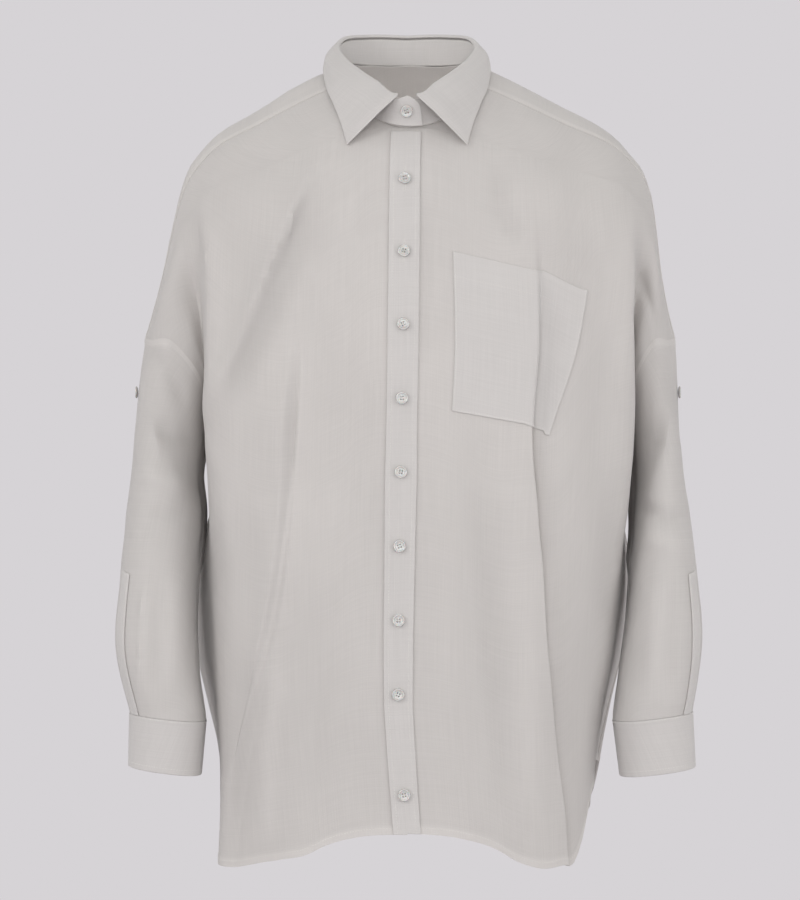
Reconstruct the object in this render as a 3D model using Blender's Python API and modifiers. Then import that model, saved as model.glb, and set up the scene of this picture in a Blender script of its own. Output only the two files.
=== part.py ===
"""A linen shirt, filled out as it is worn, with an open neck, hem and cuffs.

Metres, +Z up. The origin is the middle of the neck, level with the shoulders' highest points.
-Y is the front and +X is the wearer's left. One smooth surface, through short tables of
sections, gives every body panel its points, so that neighbours meet along the same seam.
"""

import math
from collections import namedtuple

import bmesh
import bpy
import numpy as np
from mathutils import Vector

# Cloth and seams
CLOTH = 0.0012
DOUBLED = 0.0020
TRIM = 0.0010
SEAM_GAP = 0.0003
LAYER_GAP = 0.0003
LINEN = (0.62, 0.60, 0.58)
SHELL_WHITE = (0.80, 0.79, 0.76)

# How far the fronts and the band run past the centre, as shares of the way to the side seam
LAP_SHARE = 0.040
BAND_SHARE = 0.0435
BAND_BELOW_STAND = 0.003

# Buttons
BUTTON_RADIUS = 0.0058
BUTTON_THICK = 0.0022
BUTTON_EDGE = 0.0006
BUTTON_SIDES = 16
BUTTON_GAP = 0.0006
BUTTON_TOP_Z = -0.1064
BUTTON_PITCH = 0.0677
BUTTONS_ON_PITCH = 8
LAST_BUTTON_Z = -0.672

# Distances from the shoulder ridge, along the cloth: front is negative, back is positive
UNDERARM = 0.30
YOKE_FRONT = -0.026
YOKE_BACK = 0.085
UNDERARM_Z = -0.340
LOWEST_WAY = 0.69

# Rows and columns of the panels' cells
LOW_ROWS = 11
CHEST_ROWS = 8
BACK_ROWS = 8
YOKE_BACK_ROWS = 3
NECK_STEPS = 12
BEFORE_FOLD = 6
AFTER_FOLD = 6
FOLD_STEPS = (-1.0, -0.45, 0.0, 0.45, 1.0)
FOLD_SHARE = 0.045
SLEEVE_RINGS = 10
FALL_COLUMNS = 32
POCKET_ROWS = 6

# Columns of the body tables, as shares of the way from the centre to the side
COLUMN_SHARES = (-0.45, 0.0, 0.45, 0.68, 0.78, 0.88, 1.0)

# The neckline seen from above is an ellipse
NECK_X = 0.068
NECK_Y = 0.066
NECK_MIDDLE_Y = -0.016
NECK_SEARCH = (0, 0.6, 240)

# Upper sections. Each point is (x on the right side, x on the left side, y, z).
Upper = namedtuple("Upper", "way centre chest curtain valley arm edge")
UPPER = (
    Upper(-0.30, (0, 0, -0.140, -0.340), (0.140, 0.150, -0.125, -0.340), (0.189, 0.211, -0.085, -0.340),
          (0.189, 0.209, -0.050, -0.340), (0.1835, 0.2000, -0.020, -0.340), (0.187, 0.203, 0.010, -0.340)),
    Upper(-0.235, (0, 0, -0.138, -0.270), (0.140, 0.150, -0.122, -0.270), (0.190, 0.212, -0.085, -0.272),
          (0.193, 0.211, -0.049, -0.276), (0.194, 0.209, -0.046, -0.282), (0.197, 0.211, -0.046, -0.290)),
    Upper(-0.16, (0, 0, -0.130, -0.200), (0.140, 0.150, -0.115, -0.200), (0.190, 0.210, -0.082, -0.205),
          (0.198, 0.212, -0.050, -0.215), (0.209, 0.220, -0.056, -0.236), (0.222, 0.229, -0.055, -0.2555)),
    Upper(-0.07, (0, 0, -0.090, -0.067), (0.140, 0.150, -0.085, -0.105), (0.194, 0.212, -0.062, -0.127),
          (0.214, 0.229, -0.050, -0.155), (0.232, 0.238, -0.045, -0.205), (0.244, 0.246, -0.035, -0.2525)),
    Upper(0.0, (0, 0, 0.000, 0.027), (0.140, 0.145, 0.004, -0.0270), (0.1975, 0.2105, 0.004, -0.0685),
          (0.2160, 0.2300, 0.002, -0.101), (0.2355, 0.2415, 0.000, -0.190), (0.253, 0.2550, 0.000, -0.249)),
    Upper(0.07, (0, 0, 0.090, -0.015), (0.140, 0.145, 0.080, -0.079), (0.197, 0.214, 0.062, -0.120),
          (0.216, 0.231, 0.052, -0.155), (0.232, 0.240, 0.044, -0.205), (0.246, 0.248, 0.035, -0.252)),
    Upper(0.16, (0, 0, 0.124, -0.160), (0.140, 0.145, 0.108, -0.175), (0.190, 0.208, 0.080, -0.200),
          (0.203, 0.219, 0.066, -0.215), (0.213, 0.224, 0.060, -0.238), (0.224, 0.231, 0.056, -0.262)),
    Upper(0.235, (0, 0, 0.132, -0.262), (0.140, 0.146, 0.114, -0.265), (0.188, 0.206, 0.078, -0.272),
          (0.191, 0.209, 0.058, -0.278), (0.194, 0.209, 0.052, -0.288), (0.198, 0.211, 0.046, -0.300)),
    Upper(0.30, (0, 0, 0.132, -0.340), (0.138, 0.146, 0.116, -0.340), (0.184, 0.200, 0.078, -0.340),
          (0.185, 0.201, 0.055, -0.340), (0.1845, 0.2005, 0.034, -0.340), (0.187, 0.203, 0.010, -0.340)),
)

# Lower sections: depths at the centre, the corners where front or back turns, and the side
Lower = namedtuple(
    "Lower", "z front back corner_right corner_left corner_front corner_back side_right side_left side_y"
)
LOWER = (
    Lower(-0.375, -0.142, 0.132, 0.187, 0.209, -0.085, 0.078, 0.1825, 0.1985, 0.014),
    Lower(-0.41, -0.144, 0.132, 0.185, 0.206, -0.085, 0.078, 0.189, 0.204, 0.025),
    Lower(-0.46, -0.145, 0.132, 0.181, 0.199, -0.085, 0.082, 0.206, 0.2145, 0.045),
    Lower(-0.55, -0.146, 0.131, 0.177, 0.190, -0.085, 0.082, 0.2065, 0.2085, 0.040),
    Lower(-0.60, -0.146, 0.130, 0.173, 0.183, -0.085, 0.080, 0.1905, 0.1955, 0.025),
    Lower(-0.66, -0.146, 0.129, 0.168, 0.178, -0.085, 0.078, 0.1730, 0.183, 0.010),
    Lower(-0.77, -0.148, 0.128, 0.170, 0.179, -0.088, 0.076, 0.1690, 0.181, 0.000),
)
# The other points of a lower section, between its centre, its corner and its side
CHEST_SHARE = 0.75
CHEST_BACK = 0.016
VALLEY_SHARE = 0.36
ARM_SHARE = 0.70

# The hem's height against the share of the way from the centre to the side seam
Hem = namedtuple("Hem", "share right left back")
HEM = (
    Hem(0.00, -0.7085, -0.7075, -0.728),
    Hem(0.17, -0.7115, -0.7125, -0.729),
    Hem(0.25, -0.7180, -0.7200, -0.729),
    Hem(0.32, -0.7275, -0.7330, -0.728),
    Hem(0.40, -0.7320, -0.7405, -0.727),
    Hem(0.50, -0.7370, -0.7390, -0.724),
    Hem(0.555, -0.7405, -0.7400, -0.7205),
    Hem(0.60, -0.7430, -0.7370, -0.7175),
    Hem(0.64, -0.7440, -0.7000, -0.7135),
    Hem(0.665, -0.7440, -0.6780, -0.711),
    Hem(0.70, -0.7420, -0.6700, -0.706),
    Hem(0.85, -0.7020, -0.6560, -0.682),
    Hem(1.00, -0.6620, -0.6500, -0.656),
)

# The front edge wanders a little from the middle on its way down, and takes the cloth near it along
Wander = namedtuple("Wander", "z x")
WANDER = (
    Wander(0.03, 0.0), Wander(-0.03, -0.002), Wander(-0.09, -0.0042), Wander(-0.30, -0.0066),
    Wander(-0.45, -0.0092), Wander(-0.53, -0.0104), Wander(-0.59, -0.0104), Wander(-0.62, -0.0086),
    Wander(-0.664, -0.0056), Wander(-0.71, -0.0022), Wander(-0.76, -0.002),
)
WANDER_SHARE = 0.62

# The one large fold that each front hangs in: where its edge runs, seen from the front
Path = namedtuple("Path", "z right left")
FOLD_PATH = (
    Path(0.03, 0.088, 0.098), Path(-0.08, 0.092, 0.108), Path(-0.19, 0.096, 0.121),
    Path(-0.265, 0.103, 0.124), Path(-0.34, 0.108, 0.119), Path(-0.40, 0.110, 0.123),
    Path(-0.47, 0.116, 0.129), Path(-0.54, 0.128, 0.134), Path(-0.62, 0.146, 0.142),
    Path(-0.70, 0.158, 0.151), Path(-0.77, 0.166, 0.157),
)
FOLD_SEARCH = (0.05, 0.72, 60)
# The height it starts at and the height over which it grows, how far the cloth past its edge
# stands off or lies back and over what width, and how far its edge is pulled over its other side
Fold = namedtuple("Fold", "top grows lift step level fades pull pull_at pull_wide")
FOLDS = {
    -1: Fold(-0.24, 0.10, -0.010, 0.012, 0.008, 0.035, 0.0, 0.009, 0.012),
    1: Fold(-0.13, 0.16, 0.013, 0.010, 0.0, 0.040, 0.011, 0.009, 0.012),
}
STEP_BEFORE = 0.004
FRONT_FADES = 0.05

# Soft troughs of the fronts, seen from the front: two ends, how deep and how wide
Trough = namedtuple("Trough", "side x0 z0 x1 z1 deep wide")
TROUGHS = (
    Trough(-1, 0.082, -0.082, 0.185, -0.330, 0.009, 0.013),
    Trough(1, 0.052, -0.345, 0.082, -0.760, 0.006, 0.020),
)
# A trough starts and ends softly, over these shares of its length
TROUGH_START = 0.25
TROUGH_END = 0.20
TROUGH_PAST = 0.05
# A step small enough to take a direction along the surface
NEAR = 0.001

# Sleeve sections: the outer and inner ends, and the front and back
ROUNDNESS = 2.3
EVEN_WAY = 0.3
Sleeve = namedtuple("Sleeve", "way outer_x outer_z inner_x inner_z front back")
SLEEVES = {
    -1: (
        Sleeve(0.12, 0.2580, -0.290, 0.1960, -0.374, -0.062, 0.058),
        Sleeve(0.30, 0.2625, -0.357, 0.1940, -0.420, -0.080, 0.036),
        Sleeve(0.58, 0.2710, -0.461, 0.1985, -0.490, -0.105, 0.008),
        Sleeve(0.84, 0.2745, -0.546, 0.1965, -0.565, -0.122, -0.014),
        Sleeve(1.00, 0.2610, -0.601, 0.1900, -0.609, -0.124, -0.032),
    ),
    1: (
        Sleeve(0.12, 0.2562, -0.290, 0.2115, -0.374, -0.062, 0.058),
        Sleeve(0.30, 0.2590, -0.357, 0.2110, -0.420, -0.080, 0.036),
        Sleeve(0.58, 0.2690, -0.461, 0.2060, -0.490, -0.105, 0.008),
        Sleeve(0.84, 0.2740, -0.546, 0.1965, -0.565, -0.122, -0.014),
        Sleeve(1.00, 0.2645, -0.600, 0.1905, -0.609, -0.124, -0.032),
    ),
}
# The cuffs' lower ends, and where each cuff laps itself at the back
CUFF_ENDS = {
    -1: Sleeve(1.0, 0.2620, -0.6510, 0.1945, -0.6600, -0.119, -0.040),
    1: Sleeve(1.0, 0.2670, -0.6520, 0.1970, -0.6610, -0.119, -0.040),
}
CUFF_ROWS = (0.005, 0.5, 1.0)
CUFF_END_SHARE = 0.70
CUFF_LAP_COLUMNS = 3
CUFF_LAP_GAP = 0.0005
CUFF_LIFT = -0.0012
CUFF_BUTTON = (1, 32)

# The tab inside each sleeve and the band beside its slit, in the sleeve's rings and columns
TAB_RINGS, TAB_COLUMNS = (1, 5), (13, 15)
TAB_LIFT = -CLOTH - 2 * LAYER_GAP - TRIM
TAB_BUTTON = (1.5, 14.0)
SLIT_RINGS, SLIT_COLUMNS = (6, 10), (11, 13)

# The pocket: its left edge and its corners, seen from the front
Corner = namedtuple("Corner", "x z")
POCKET_LEFT_X = 0.0405
POCKET_TOP = (Corner(0.041, -0.174), Corner(0.121, -0.192), Corner(0.163, -0.209))
POCKET_FOOT = (Corner(0.039, -0.321), Corner(0.110, -0.333), Corner(0.1395, -0.3430))
POCKET_MIDDLE_Z = -0.25
POCKET_LIFT = 4 * LAYER_GAP
# How far its right edge lies past the fold, in columns, at the top and at the foot
POCKET_PAST_FOLD = (0.95, 0.10)

# Half of the collar, from the middle of the back to the front: its top fold and its outer edge
Collar = namedtuple("Collar", "fold edge")
COLLAR = (
    Collar((0.000, 0.052, 0.047), (0.000, 0.068, 0.010)),
    Collar((0.040, 0.043, 0.0465), (0.045, 0.056, 0.009)),
    Collar((0.060, 0.020, 0.041), (0.0720, 0.027, 0.0105)),
    Collar((0.0655, -0.002, 0.030), (0.0785, -0.004, 0.0085)),
    Collar((0.0585, -0.025, 0.0165), (0.0758, -0.034, -0.0120)),
    Collar((0.0445, -0.050, 0.002), (0.0685, -0.059, -0.032)),
    Collar((0.0270, -0.072, -0.0125), (0.0610, -0.077, -0.053)),
    Collar((0.0085, -0.088, -0.026), (0.0555, -0.092, -0.0735)),
)
# The ellipse, seen from above, that turns around the collar are counted on
FOLD_X = 0.0655
FOLD_Y = 0.0715
FOLD_MIDDLE_Y = -0.018
COLLAR_MIDDLE_X = -0.0020
# The stand's front top, how far it laps past the middle and over what turn its end steps out
STAND_TOP = (0.0, -0.0895, -0.0235)
STAND_LAP = 0.17
LAP_STARTS = 0.29
LAP_STEPS = 0.22
STAND_LAP_GAP = 0.0012
# The stand ends this far below the fold, and the fall's first rows turn over it: up and out
FOLD_DROP = 0.0036
Turn = namedtuple("Turn", "up out")
FALL_TURNS = (Turn(0.0012, 0.0003), Turn(0.0026, 0.0014), Turn(0.0008, 0.0040))
# Then it falls to its edge: share of the way, and how far it bulges
Drop = namedtuple("Drop", "share bulge")
FALL_DROPS = (Drop(0.3, 0.0036), Drop(0.65, 0.0024), Drop(1.0, 0.0))


def along(knots, values, way, each=False):
    """A smooth curve through values at the knots. With each, sample i follows column i of values."""
    knots = np.asarray(knots, float)
    values = np.asarray(values, float)
    way = np.asarray(way, float)
    step = np.diff(knots).reshape((-1,) + (1,) * (values.ndim - 1))
    rise = np.diff(values, axis=0) / step
    slope = np.empty_like(values)
    slope[1:-1] = (step[1:] * rise[:-1] + step[:-1] * rise[1:]) / (step[1:] + step[:-1])
    slope[0] = 1.5 * rise[0] - 0.5 * slope[1]
    slope[-1] = 1.5 * rise[-1] - 0.5 * slope[-2]
    i = np.clip(np.searchsorted(knots, way, side="right") - 1, 0, len(knots) - 2)
    span = knots[i + 1] - knots[i]
    t = (way - knots[i]) / span
    pick = (i, np.arange(len(i))) if each else (i,)
    after = (i + 1, np.arange(len(i))) if each else (i + 1,)
    shape = t.shape + (1,) * (values[pick].ndim - t.ndim)
    t, span = t.reshape(shape), span.reshape(shape)
    return (
        (2 * t**3 - 3 * t**2 + 1) * values[pick]
        + (t**3 - 2 * t**2 + t) * span * slope[pick]
        + (3 * t**2 - 2 * t**3) * values[after]
        + (t**3 - t**2) * span * slope[after]
    )


def smooth(t):
    t = np.clip(t, 0, 1)
    return t * t * (3 - 2 * t)


def unit(v):
    return v / np.maximum(np.linalg.norm(v, axis=-1, keepdims=True), 1e-12)


def lower_points(row, side, face):
    """Centre, chest, corner, valley, arm and side points of one lower section."""
    corner_x = row.corner_left if side > 0 else row.corner_right
    side_x = row.side_left if side > 0 else row.side_right
    centre_y = row.front if face < 0 else row.back
    corner_y = row.corner_front if face < 0 else row.corner_back
    corner, seam = np.array([corner_x, corner_y]), np.array([side_x, row.side_y])
    flat = [
        (0, centre_y),
        (CHEST_SHARE * corner_x, centre_y - face * CHEST_BACK),
        corner,
        corner + (seam - corner) * VALLEY_SHARE,
        corner + (seam - corner) * ARM_SHARE,
        seam,
    ]
    return [(x, y, row.z) for x, y in flat]


def section_table(side):
    """The ways and the points of all sections of one side, from the front hem to the back hem."""
    ways, rows = [], []
    for face in (-1, 1):
        for row in LOWER:
            ways.append(face * (UNDERARM + UNDERARM_Z - row.z))
            rows.append(lower_points(row, side, face))
    for row in UPPER:
        ways.append(row.way)
        rows.append([(p[1] if side > 0 else p[0], p[2], p[3]) for p in row[1:]])
    order = np.argsort(ways)
    return np.array(ways)[order], np.array(rows, float)[order]


TABLES = {side: section_table(side) for side in (-1, 1)}


def body_base(side, share, way):
    """Points of the smooth body surface, before the folds."""
    ways, rows = TABLES[side]
    other = TABLES[-side][1]
    mirrored = other[:, 1:2] * np.array([-1, 1, 1])
    table = np.concatenate([mirrored, rows], axis=1)
    columns = along(COLUMN_SHARES, table.transpose(1, 0, 2), share)
    points = along(ways, columns.transpose(1, 0, 2), way, each=True)
    points[:, 0] *= side
    z = [row.z for row in reversed(WANDER)]
    x = [row.x for row in reversed(WANDER)]
    points[:, 0] += np.interp(points[:, 2], z, x) * (1 - smooth(np.abs(share) / WANDER_SHARE))
    return points


def fold_x(side, z):
    heights = [row.z for row in reversed(FOLD_PATH)]
    reach = [row.left if side > 0 else row.right for row in reversed(FOLD_PATH)]
    return along(heights, reach, z)


def fold_share(side, way):
    """The share at which the fold's edge crosses each way. It is the same past the ridge."""
    shares = np.linspace(*FOLD_SEARCH)
    found = []
    for w in np.minimum(way, YOKE_FRONT):
        row = body_base(side, shares, np.full(len(shares), w))
        found.append(np.interp(0, np.abs(row[:, 0]) - fold_x(side, row[:, 2]), shares))
    return np.array(found)


def fold_shift(side, way, points):
    """How far the folds move each point: out of the cloth, and sideways along it."""
    front = smooth((YOKE_FRONT - way) / FRONT_FADES)
    x, z = np.abs(points[:, 0]), points[:, 2]
    across = x - fold_x(side, z)
    fold = FOLDS[side]
    grown = front * smooth((fold.top - z) / fold.grows)
    risen = smooth((across + STEP_BEFORE) / fold.step)
    risen *= np.exp(-np.maximum(across - fold.level, 0) / fold.fades)
    outward = grown * fold.lift * risen
    sideways = -grown * fold.pull * np.exp(-(((across - fold.pull_at) / fold.pull_wide) ** 2))
    for trough in TROUGHS:
        if trough.side == side:
            line = np.array([trough.x1 - trough.x0, trough.z1 - trough.z0])
            length = np.linalg.norm(line)
            line = line / length
            from_end = np.stack([x - trough.x0, z - trough.z0], axis=1)
            t = (from_end @ line) / length
            off = from_end[:, 0] * line[1] - from_end[:, 1] * line[0]
            ends = smooth((t + TROUGH_PAST) / TROUGH_START) * smooth((1 + TROUGH_PAST - t) / TROUGH_END)
            outward -= front * trough.deep * ends * np.exp(-((off / trough.wide) ** 2))
    return outward, sideways


def body(side, share, way):
    """Points of the body's outer face, with the large folds."""
    share, way = np.broadcast_arrays(np.asarray(share, float), np.asarray(way, float))
    form = share.shape
    share, way = share.ravel(), way.ravel()
    points = body_base(side, share, way)
    across = unit(body_base(side, share + NEAR, way) - points)
    down = unit(body_base(side, share, way + NEAR) - points)
    normal = unit(np.cross(down, across)) * side
    outward, sideways = fold_shift(side, way, points)
    points = points + normal * outward[:, None] + across * sideways[:, None]
    return points.reshape(form + (3,))


def neck_share(side, way):
    """The share at which the neckline cuts each way, or 0 below the neck."""
    shares = np.linspace(*NECK_SEARCH)
    found = []
    for w in way:
        row = body_base(side, shares, np.full(len(shares), w))
        inside = (row[:, 0] / NECK_X) ** 2 + ((row[:, 1] - NECK_MIDDLE_Y) / NECK_Y) ** 2 - 1
        hits = np.nonzero(inside < 0)[0]
        cut = 0.0
        if len(hits):
            pair = slice(hits[-1], hits[-1] + 2)
            cut = np.interp(0, inside[pair], shares[pair])
        found.append(cut)
    return np.array(found)


def neck_end(low, high):
    """The way at which the neckline crosses the centre, between two ways of which the first is outside."""
    for _ in range(40):
        middle = (low + high) / 2
        y = body_base(1, np.zeros(1), np.array([middle]))[0, 1]
        if abs(y - NECK_MIDDLE_Y) > NECK_Y:
            low = middle
        else:
            high = middle
    return low


NECK_FRONT = neck_end(-0.15, 0.0)
NECK_BACK = neck_end(0.15, 0.0)


def columns(side, way):
    """Shares of the columns on each way: they start at the neckline or centre and follow the fold."""
    start = neck_share(side, way)
    before_neck = way < NECK_FRONT + 1e-6
    start = np.where(before_neck, -side * LAP_SHARE, start)
    fold = fold_share(side, way)
    follow = 1 - smooth((way - YOKE_FRONT) / (YOKE_BACK - YOKE_FRONT))
    rows = []
    for a, f, k in zip(start, fold, follow):
        first = np.linspace(a, f - FOLD_SHARE, BEFORE_FOLD + 1)[:-1]
        middle = f + FOLD_SHARE * np.array(FOLD_STEPS)
        last = np.linspace(f + FOLD_SHARE, 1, AFTER_FOLD + 1)[1:]
        follows = np.concatenate([first, middle, last])
        even = a + (1 - a) * np.linspace(0, 1, len(follows))
        rows.append(k * follows + (1 - k) * even)
    return np.array(rows)


def hem_way(side, share, face):
    """The way of the hem below each share."""
    shares = [row.share for row in HEM]
    if face > 0:
        heights = [row.back for row in HEM]
    else:
        heights = [row.left if side > 0 else row.right for row in HEM]
    middle = [(row.left + row.right + 2 * row.back) / 4 for row in HEM][-1]
    heights[-1] = middle
    return face * (UNDERARM + UNDERARM_Z - along(shares, heights, np.abs(share)))


def lower_grid(side, face):
    """Shares and ways from the hem up to the underarm."""
    up = np.linspace(0, 1, LOW_ROWS + 1)
    shares = columns(side, face * np.linspace(LOWEST_WAY, UNDERARM, LOW_ROWS + 1))
    hem = hem_way(side, shares[0], face)
    ways = hem[None, :] + (face * UNDERARM - hem)[None, :] * up[:, None]
    return shares, ways


def upper_grid(side, ways):
    shares = columns(side, ways)
    return shares, np.broadcast_to(ways[:, None], shares.shape)


def neckline(side, way):
    """Points of the neckline, and their angles seen from above: 0 is the front and pi the back."""
    points = body(side, neck_share(side, way), way)
    turn = np.arctan2(np.abs(points[:, 0]) / NECK_X, (NECK_MIDDLE_Y - points[:, 1]) / NECK_Y)
    return points, turn


def neck_ways():
    """Ways that part the neckline into even turns, with the yoke's front seam as one of them."""
    fine = np.linspace(NECK_FRONT, NECK_BACK, 241)
    turn = neckline(1, fine)[1]
    seam = np.interp(YOKE_FRONT, fine, turn)
    before = round(NECK_STEPS * seam / math.pi)
    front = np.interp(np.linspace(0, seam, before + 1), turn, fine)
    back = np.interp(np.linspace(seam, math.pi, NECK_STEPS - before + 1), turn, fine)
    front[0], front[-1], back[0], back[-1] = NECK_FRONT, YOKE_FRONT, YOKE_FRONT, NECK_BACK
    return front, back


NECK_FRONT_WAYS, NECK_YOKE_WAYS = neck_ways()
FRONT_WAYS = np.concatenate([np.linspace(-UNDERARM, NECK_FRONT, CHEST_ROWS + 1)[:-1], NECK_FRONT_WAYS])
YOKE_WAYS = np.concatenate([NECK_YOKE_WAYS, np.linspace(NECK_BACK, YOKE_BACK, YOKE_BACK_ROWS + 1)[1:]])
BACK_WAYS = np.linspace(YOKE_BACK, UNDERARM, BACK_ROWS + 1)


def side_grids(side):
    """Point grids of one side: lower front, upper front, yoke, upper back and lower back."""
    grids = {}
    shares, ways = lower_grid(side, -1)
    grids["low_front"] = body(side, shares, ways)
    for name, row_ways in (("front", FRONT_WAYS), ("yoke", YOKE_WAYS), ("back", BACK_WAYS)):
        grids[name] = body(side, *upper_grid(side, row_ways))
    shares, ways = lower_grid(side, 1)
    grids["low_back"] = body(side, shares, ways)[::-1]
    seam = (grids["low_front"][:, -1] + grids["low_back"][::-1][:, -1]) / 2
    grids["low_front"][:, -1] = seam
    grids["low_back"][:, -1] = seam[::-1]
    grids["front"][0] = grids["low_front"][-1]
    grids["low_back"][0] = grids["back"][-1] = (grids["back"][-1] + grids["low_back"][0]) / 2
    grids["back"][-1, -1] = grids["low_back"][0, -1] = grids["front"][0, -1]
    grids["yoke"][0] = grids["front"][-1]
    grids["back"][0] = grids["yoke"][-1]
    return grids


def armhole(grids):
    """The loop at the armhole from the underarm over the front, the shoulder and the back."""
    loop = np.concatenate([grids["front"][:, -1], grids["yoke"][1:, -1], grids["back"][1:-1, -1]])
    ways = np.concatenate([FRONT_WAYS, YOKE_WAYS[1:], BACK_WAYS[1:-1]])
    return loop, math.pi * (1 + ways / UNDERARM)


def sleeve_section(row, side, angles):
    """One sleeve section: angle 0 is the inner side, and a quarter turn on is the front."""
    c, s = np.cos(angles), np.sin(angles)
    along_x = np.sign(c) * np.abs(c) ** (2 / ROUNDNESS)
    along_y = np.sign(s) * np.abs(s) ** (2 / ROUNDNESS)
    x = (row.outer_x + row.inner_x) / 2 - along_x * (row.outer_x - row.inner_x) / 2
    z = (row.outer_z + row.inner_z) / 2 - along_x * (row.outer_z - row.inner_z) / 2
    y = (row.front + row.back) / 2 + along_y * (row.front - row.back) / 2
    return np.stack([side * x, y, z], axis=-1)


def sleeve_surface(side, loop, angles, ways):
    """Rings of a sleeve. Its columns start at the armhole's points and even out on the way down."""
    even = np.arange(len(loop)) * 2 * math.pi / len(loop)
    rings = []
    for way in ways:
        turn = angles + (even - angles) * smooth(way / EVEN_WAY)
        sections = [loop] + [sleeve_section(row, side, turn) for row in SLEEVES[side]]
        knots = [0.0] + [row.way for row in SLEEVES[side]]
        rings.append(along(knots, np.array(sections), np.array([way]))[0])
    return np.array(rings)


def cuff_surface(side, ring):
    """The cuff's rows, down from the sleeve's last ring. Its outer end stands off where it laps."""
    count = len(ring)
    end = int(CUFF_END_SHARE * count)
    order = np.arange(end - CUFF_LAP_COLUMNS, end + count + 1)
    bottom = sleeve_section(CUFF_ENDS[side], side, order * 2 * math.pi / count)
    top = ring[order % count]
    off = smooth((order - (end + count - CUFF_LAP_COLUMNS - 2)) / 2) * (DOUBLED + CUFF_LAP_GAP)
    rows = []
    for down in CUFF_ROWS:
        row = top + (bottom - top) * down
        outward = unit((row - row[:count].mean(axis=0)) * np.array([1, 1, 0]))
        rows.append(row + outward * off[:, None])
    return np.array(rows)


def key(point):
    return tuple(np.round(point * 1e6).astype(int))


def quads(grid, flip, closed=False):
    """The grid's cells as lists of four points, wound to face out."""
    rows, cols = grid.shape[:2]
    cells = []
    for i in range(rows - 1):
        for j in range(cols if closed else cols - 1):
            k = (j + 1) % cols
            cell = [grid[i, j], grid[i, k], grid[i + 1, k], grid[i + 1, j]]
            cells.append(cell[::-1] if flip else cell)
    return cells


def shared_normals(*groups):
    """Unit normals at the corners of all cells. Where groups of cells meet, each group counts the same."""
    total = {}
    for cells in groups:
        sums = {}
        for cell in cells:
            normal = np.cross(cell[2] - cell[0], cell[3] - cell[1])
            for point in cell:
                sums[key(point)] = sums.get(key(point), 0) + unit(normal)
        for k, normal in sums.items():
            total[k] = total.get(k, 0) + unit(normal)
    return {k: unit(normal) for k, normal in total.items()}


def sampled(grid, normals, row, column):
    """Points and normals between those of a panel's grid, at places counted in rows and columns."""
    i = np.clip(np.floor(row).astype(int), 0, grid.shape[0] - 2)
    j = np.clip(np.floor(column).astype(int), 0, grid.shape[1] - 2)
    s, t = (row - i)[..., None], (column - j)[..., None]
    sides = np.array([[normals[key(p)] for p in line] for line in grid])
    found = []
    for values in (grid, sides):
        near = values[i, j] * (1 - t) + values[i, j + 1] * t
        far = values[i + 1, j] * (1 - t) + values[i + 1, j + 1] * t
        found.append(near * (1 - s) + far * s)
    return found[0], unit(found[1])


def patch_normals(points, sides):
    return {key(p): n for p, n in zip(points.reshape(-1, 3), sides.reshape(-1, 3))}


def add_object(name, mesh, shirt, colour, roughness=0.9):
    material = bpy.data.materials.new(name)
    material.use_nodes = True
    shader = material.node_tree.nodes["Principled BSDF"]
    shader.inputs["Base Color"].default_value = (*colour, 1)
    shader.inputs["Roughness"].default_value = roughness
    shader.inputs["Metallic"].default_value = 0
    mesh.materials.append(material)
    mesh.shade_smooth()
    mesh.set_sharp_from_angle(angle=math.radians(40))
    obj = bpy.data.objects.new(name, mesh)
    shirt.objects.link(obj)
    return obj


def wall(name, cells, shirt, normals=None, thick=CLOTH, lift=-CLOTH, inset=SEAM_GAP / 2):
    """A closed wall: its inner face lies lift out from the cells, and its edges lie inset from theirs.

    Both faces of a cell are parted along its shorter diagonal, so they stay apart where it twists.
    """
    normals = normals or shared_normals(cells)
    index, base, normal, faces = {}, [], [], []
    for cell in cells:
        face = []
        for point in cell:
            k = key(point)
            if k not in index:
                index[k] = len(base)
                base.append(point)
                normal.append(normals[k])
            face.append(index[k])
        faces.append(face)
    base, normal = np.array(base), np.array(normal)
    ends = {pair for face in faces for pair in zip(face, face[1:] + face[:1])}
    rim = [(a, b) for a, b in sorted(ends) if (b, a) not in ends]
    inward = [[] for _ in base]
    for a, b in rim:
        direction = unit(np.cross(normal[a] + normal[b], base[b] - base[a]))
        inward[a].append(direction)
        inward[b].append(direction)
    for i, directions in enumerate(inward):
        if directions:
            total = sum(directions)
            base[i] += total / max(total @ directions[0], 0.5) * inset
    inner = base + normal * lift
    outer = inner + normal * thick
    count = len(base)
    halves = []
    for a, b, c, d in faces:
        if np.linalg.norm(base[a] - base[c]) < np.linalg.norm(base[b] - base[d]):
            halves += [(a, b, c), (a, c, d)]
        else:
            halves += [(a, b, d), (b, c, d)]
    shell = [[count + i for i in half] for half in halves] + [half[::-1] for half in halves]
    shell += [[a, b, count + b, count + a] for a, b in rim]
    mesh = bpy.data.meshes.new(name)
    mesh.from_pydata(np.concatenate([inner, outer]).tolist(), [], shell)
    return add_object(name, mesh, shirt, LINEN)


def button(name, point, normal, shirt):
    """A round button with softened edges, lying just off the cloth at the point."""
    form = bmesh.new()
    radii = {"radius1": BUTTON_RADIUS, "radius2": BUTTON_RADIUS}
    bmesh.ops.create_cone(form, cap_ends=True, segments=BUTTON_SIDES, depth=BUTTON_THICK, **radii)
    mesh = bpy.data.meshes.new(name)
    form.to_mesh(mesh)
    form.free()
    obj = add_object(name, mesh, shirt, SHELL_WHITE, roughness=0.25)
    soften = obj.modifiers.new("edge", "BEVEL")
    soften.width = BUTTON_EDGE
    soften.segments = 1
    obj.location = Vector(point) + Vector(normal) * (BUTTON_THICK / 2 + BUTTON_GAP)
    obj.rotation_euler = Vector(normal).to_track_quat("Z", "Y").to_euler()
    return obj


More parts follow.
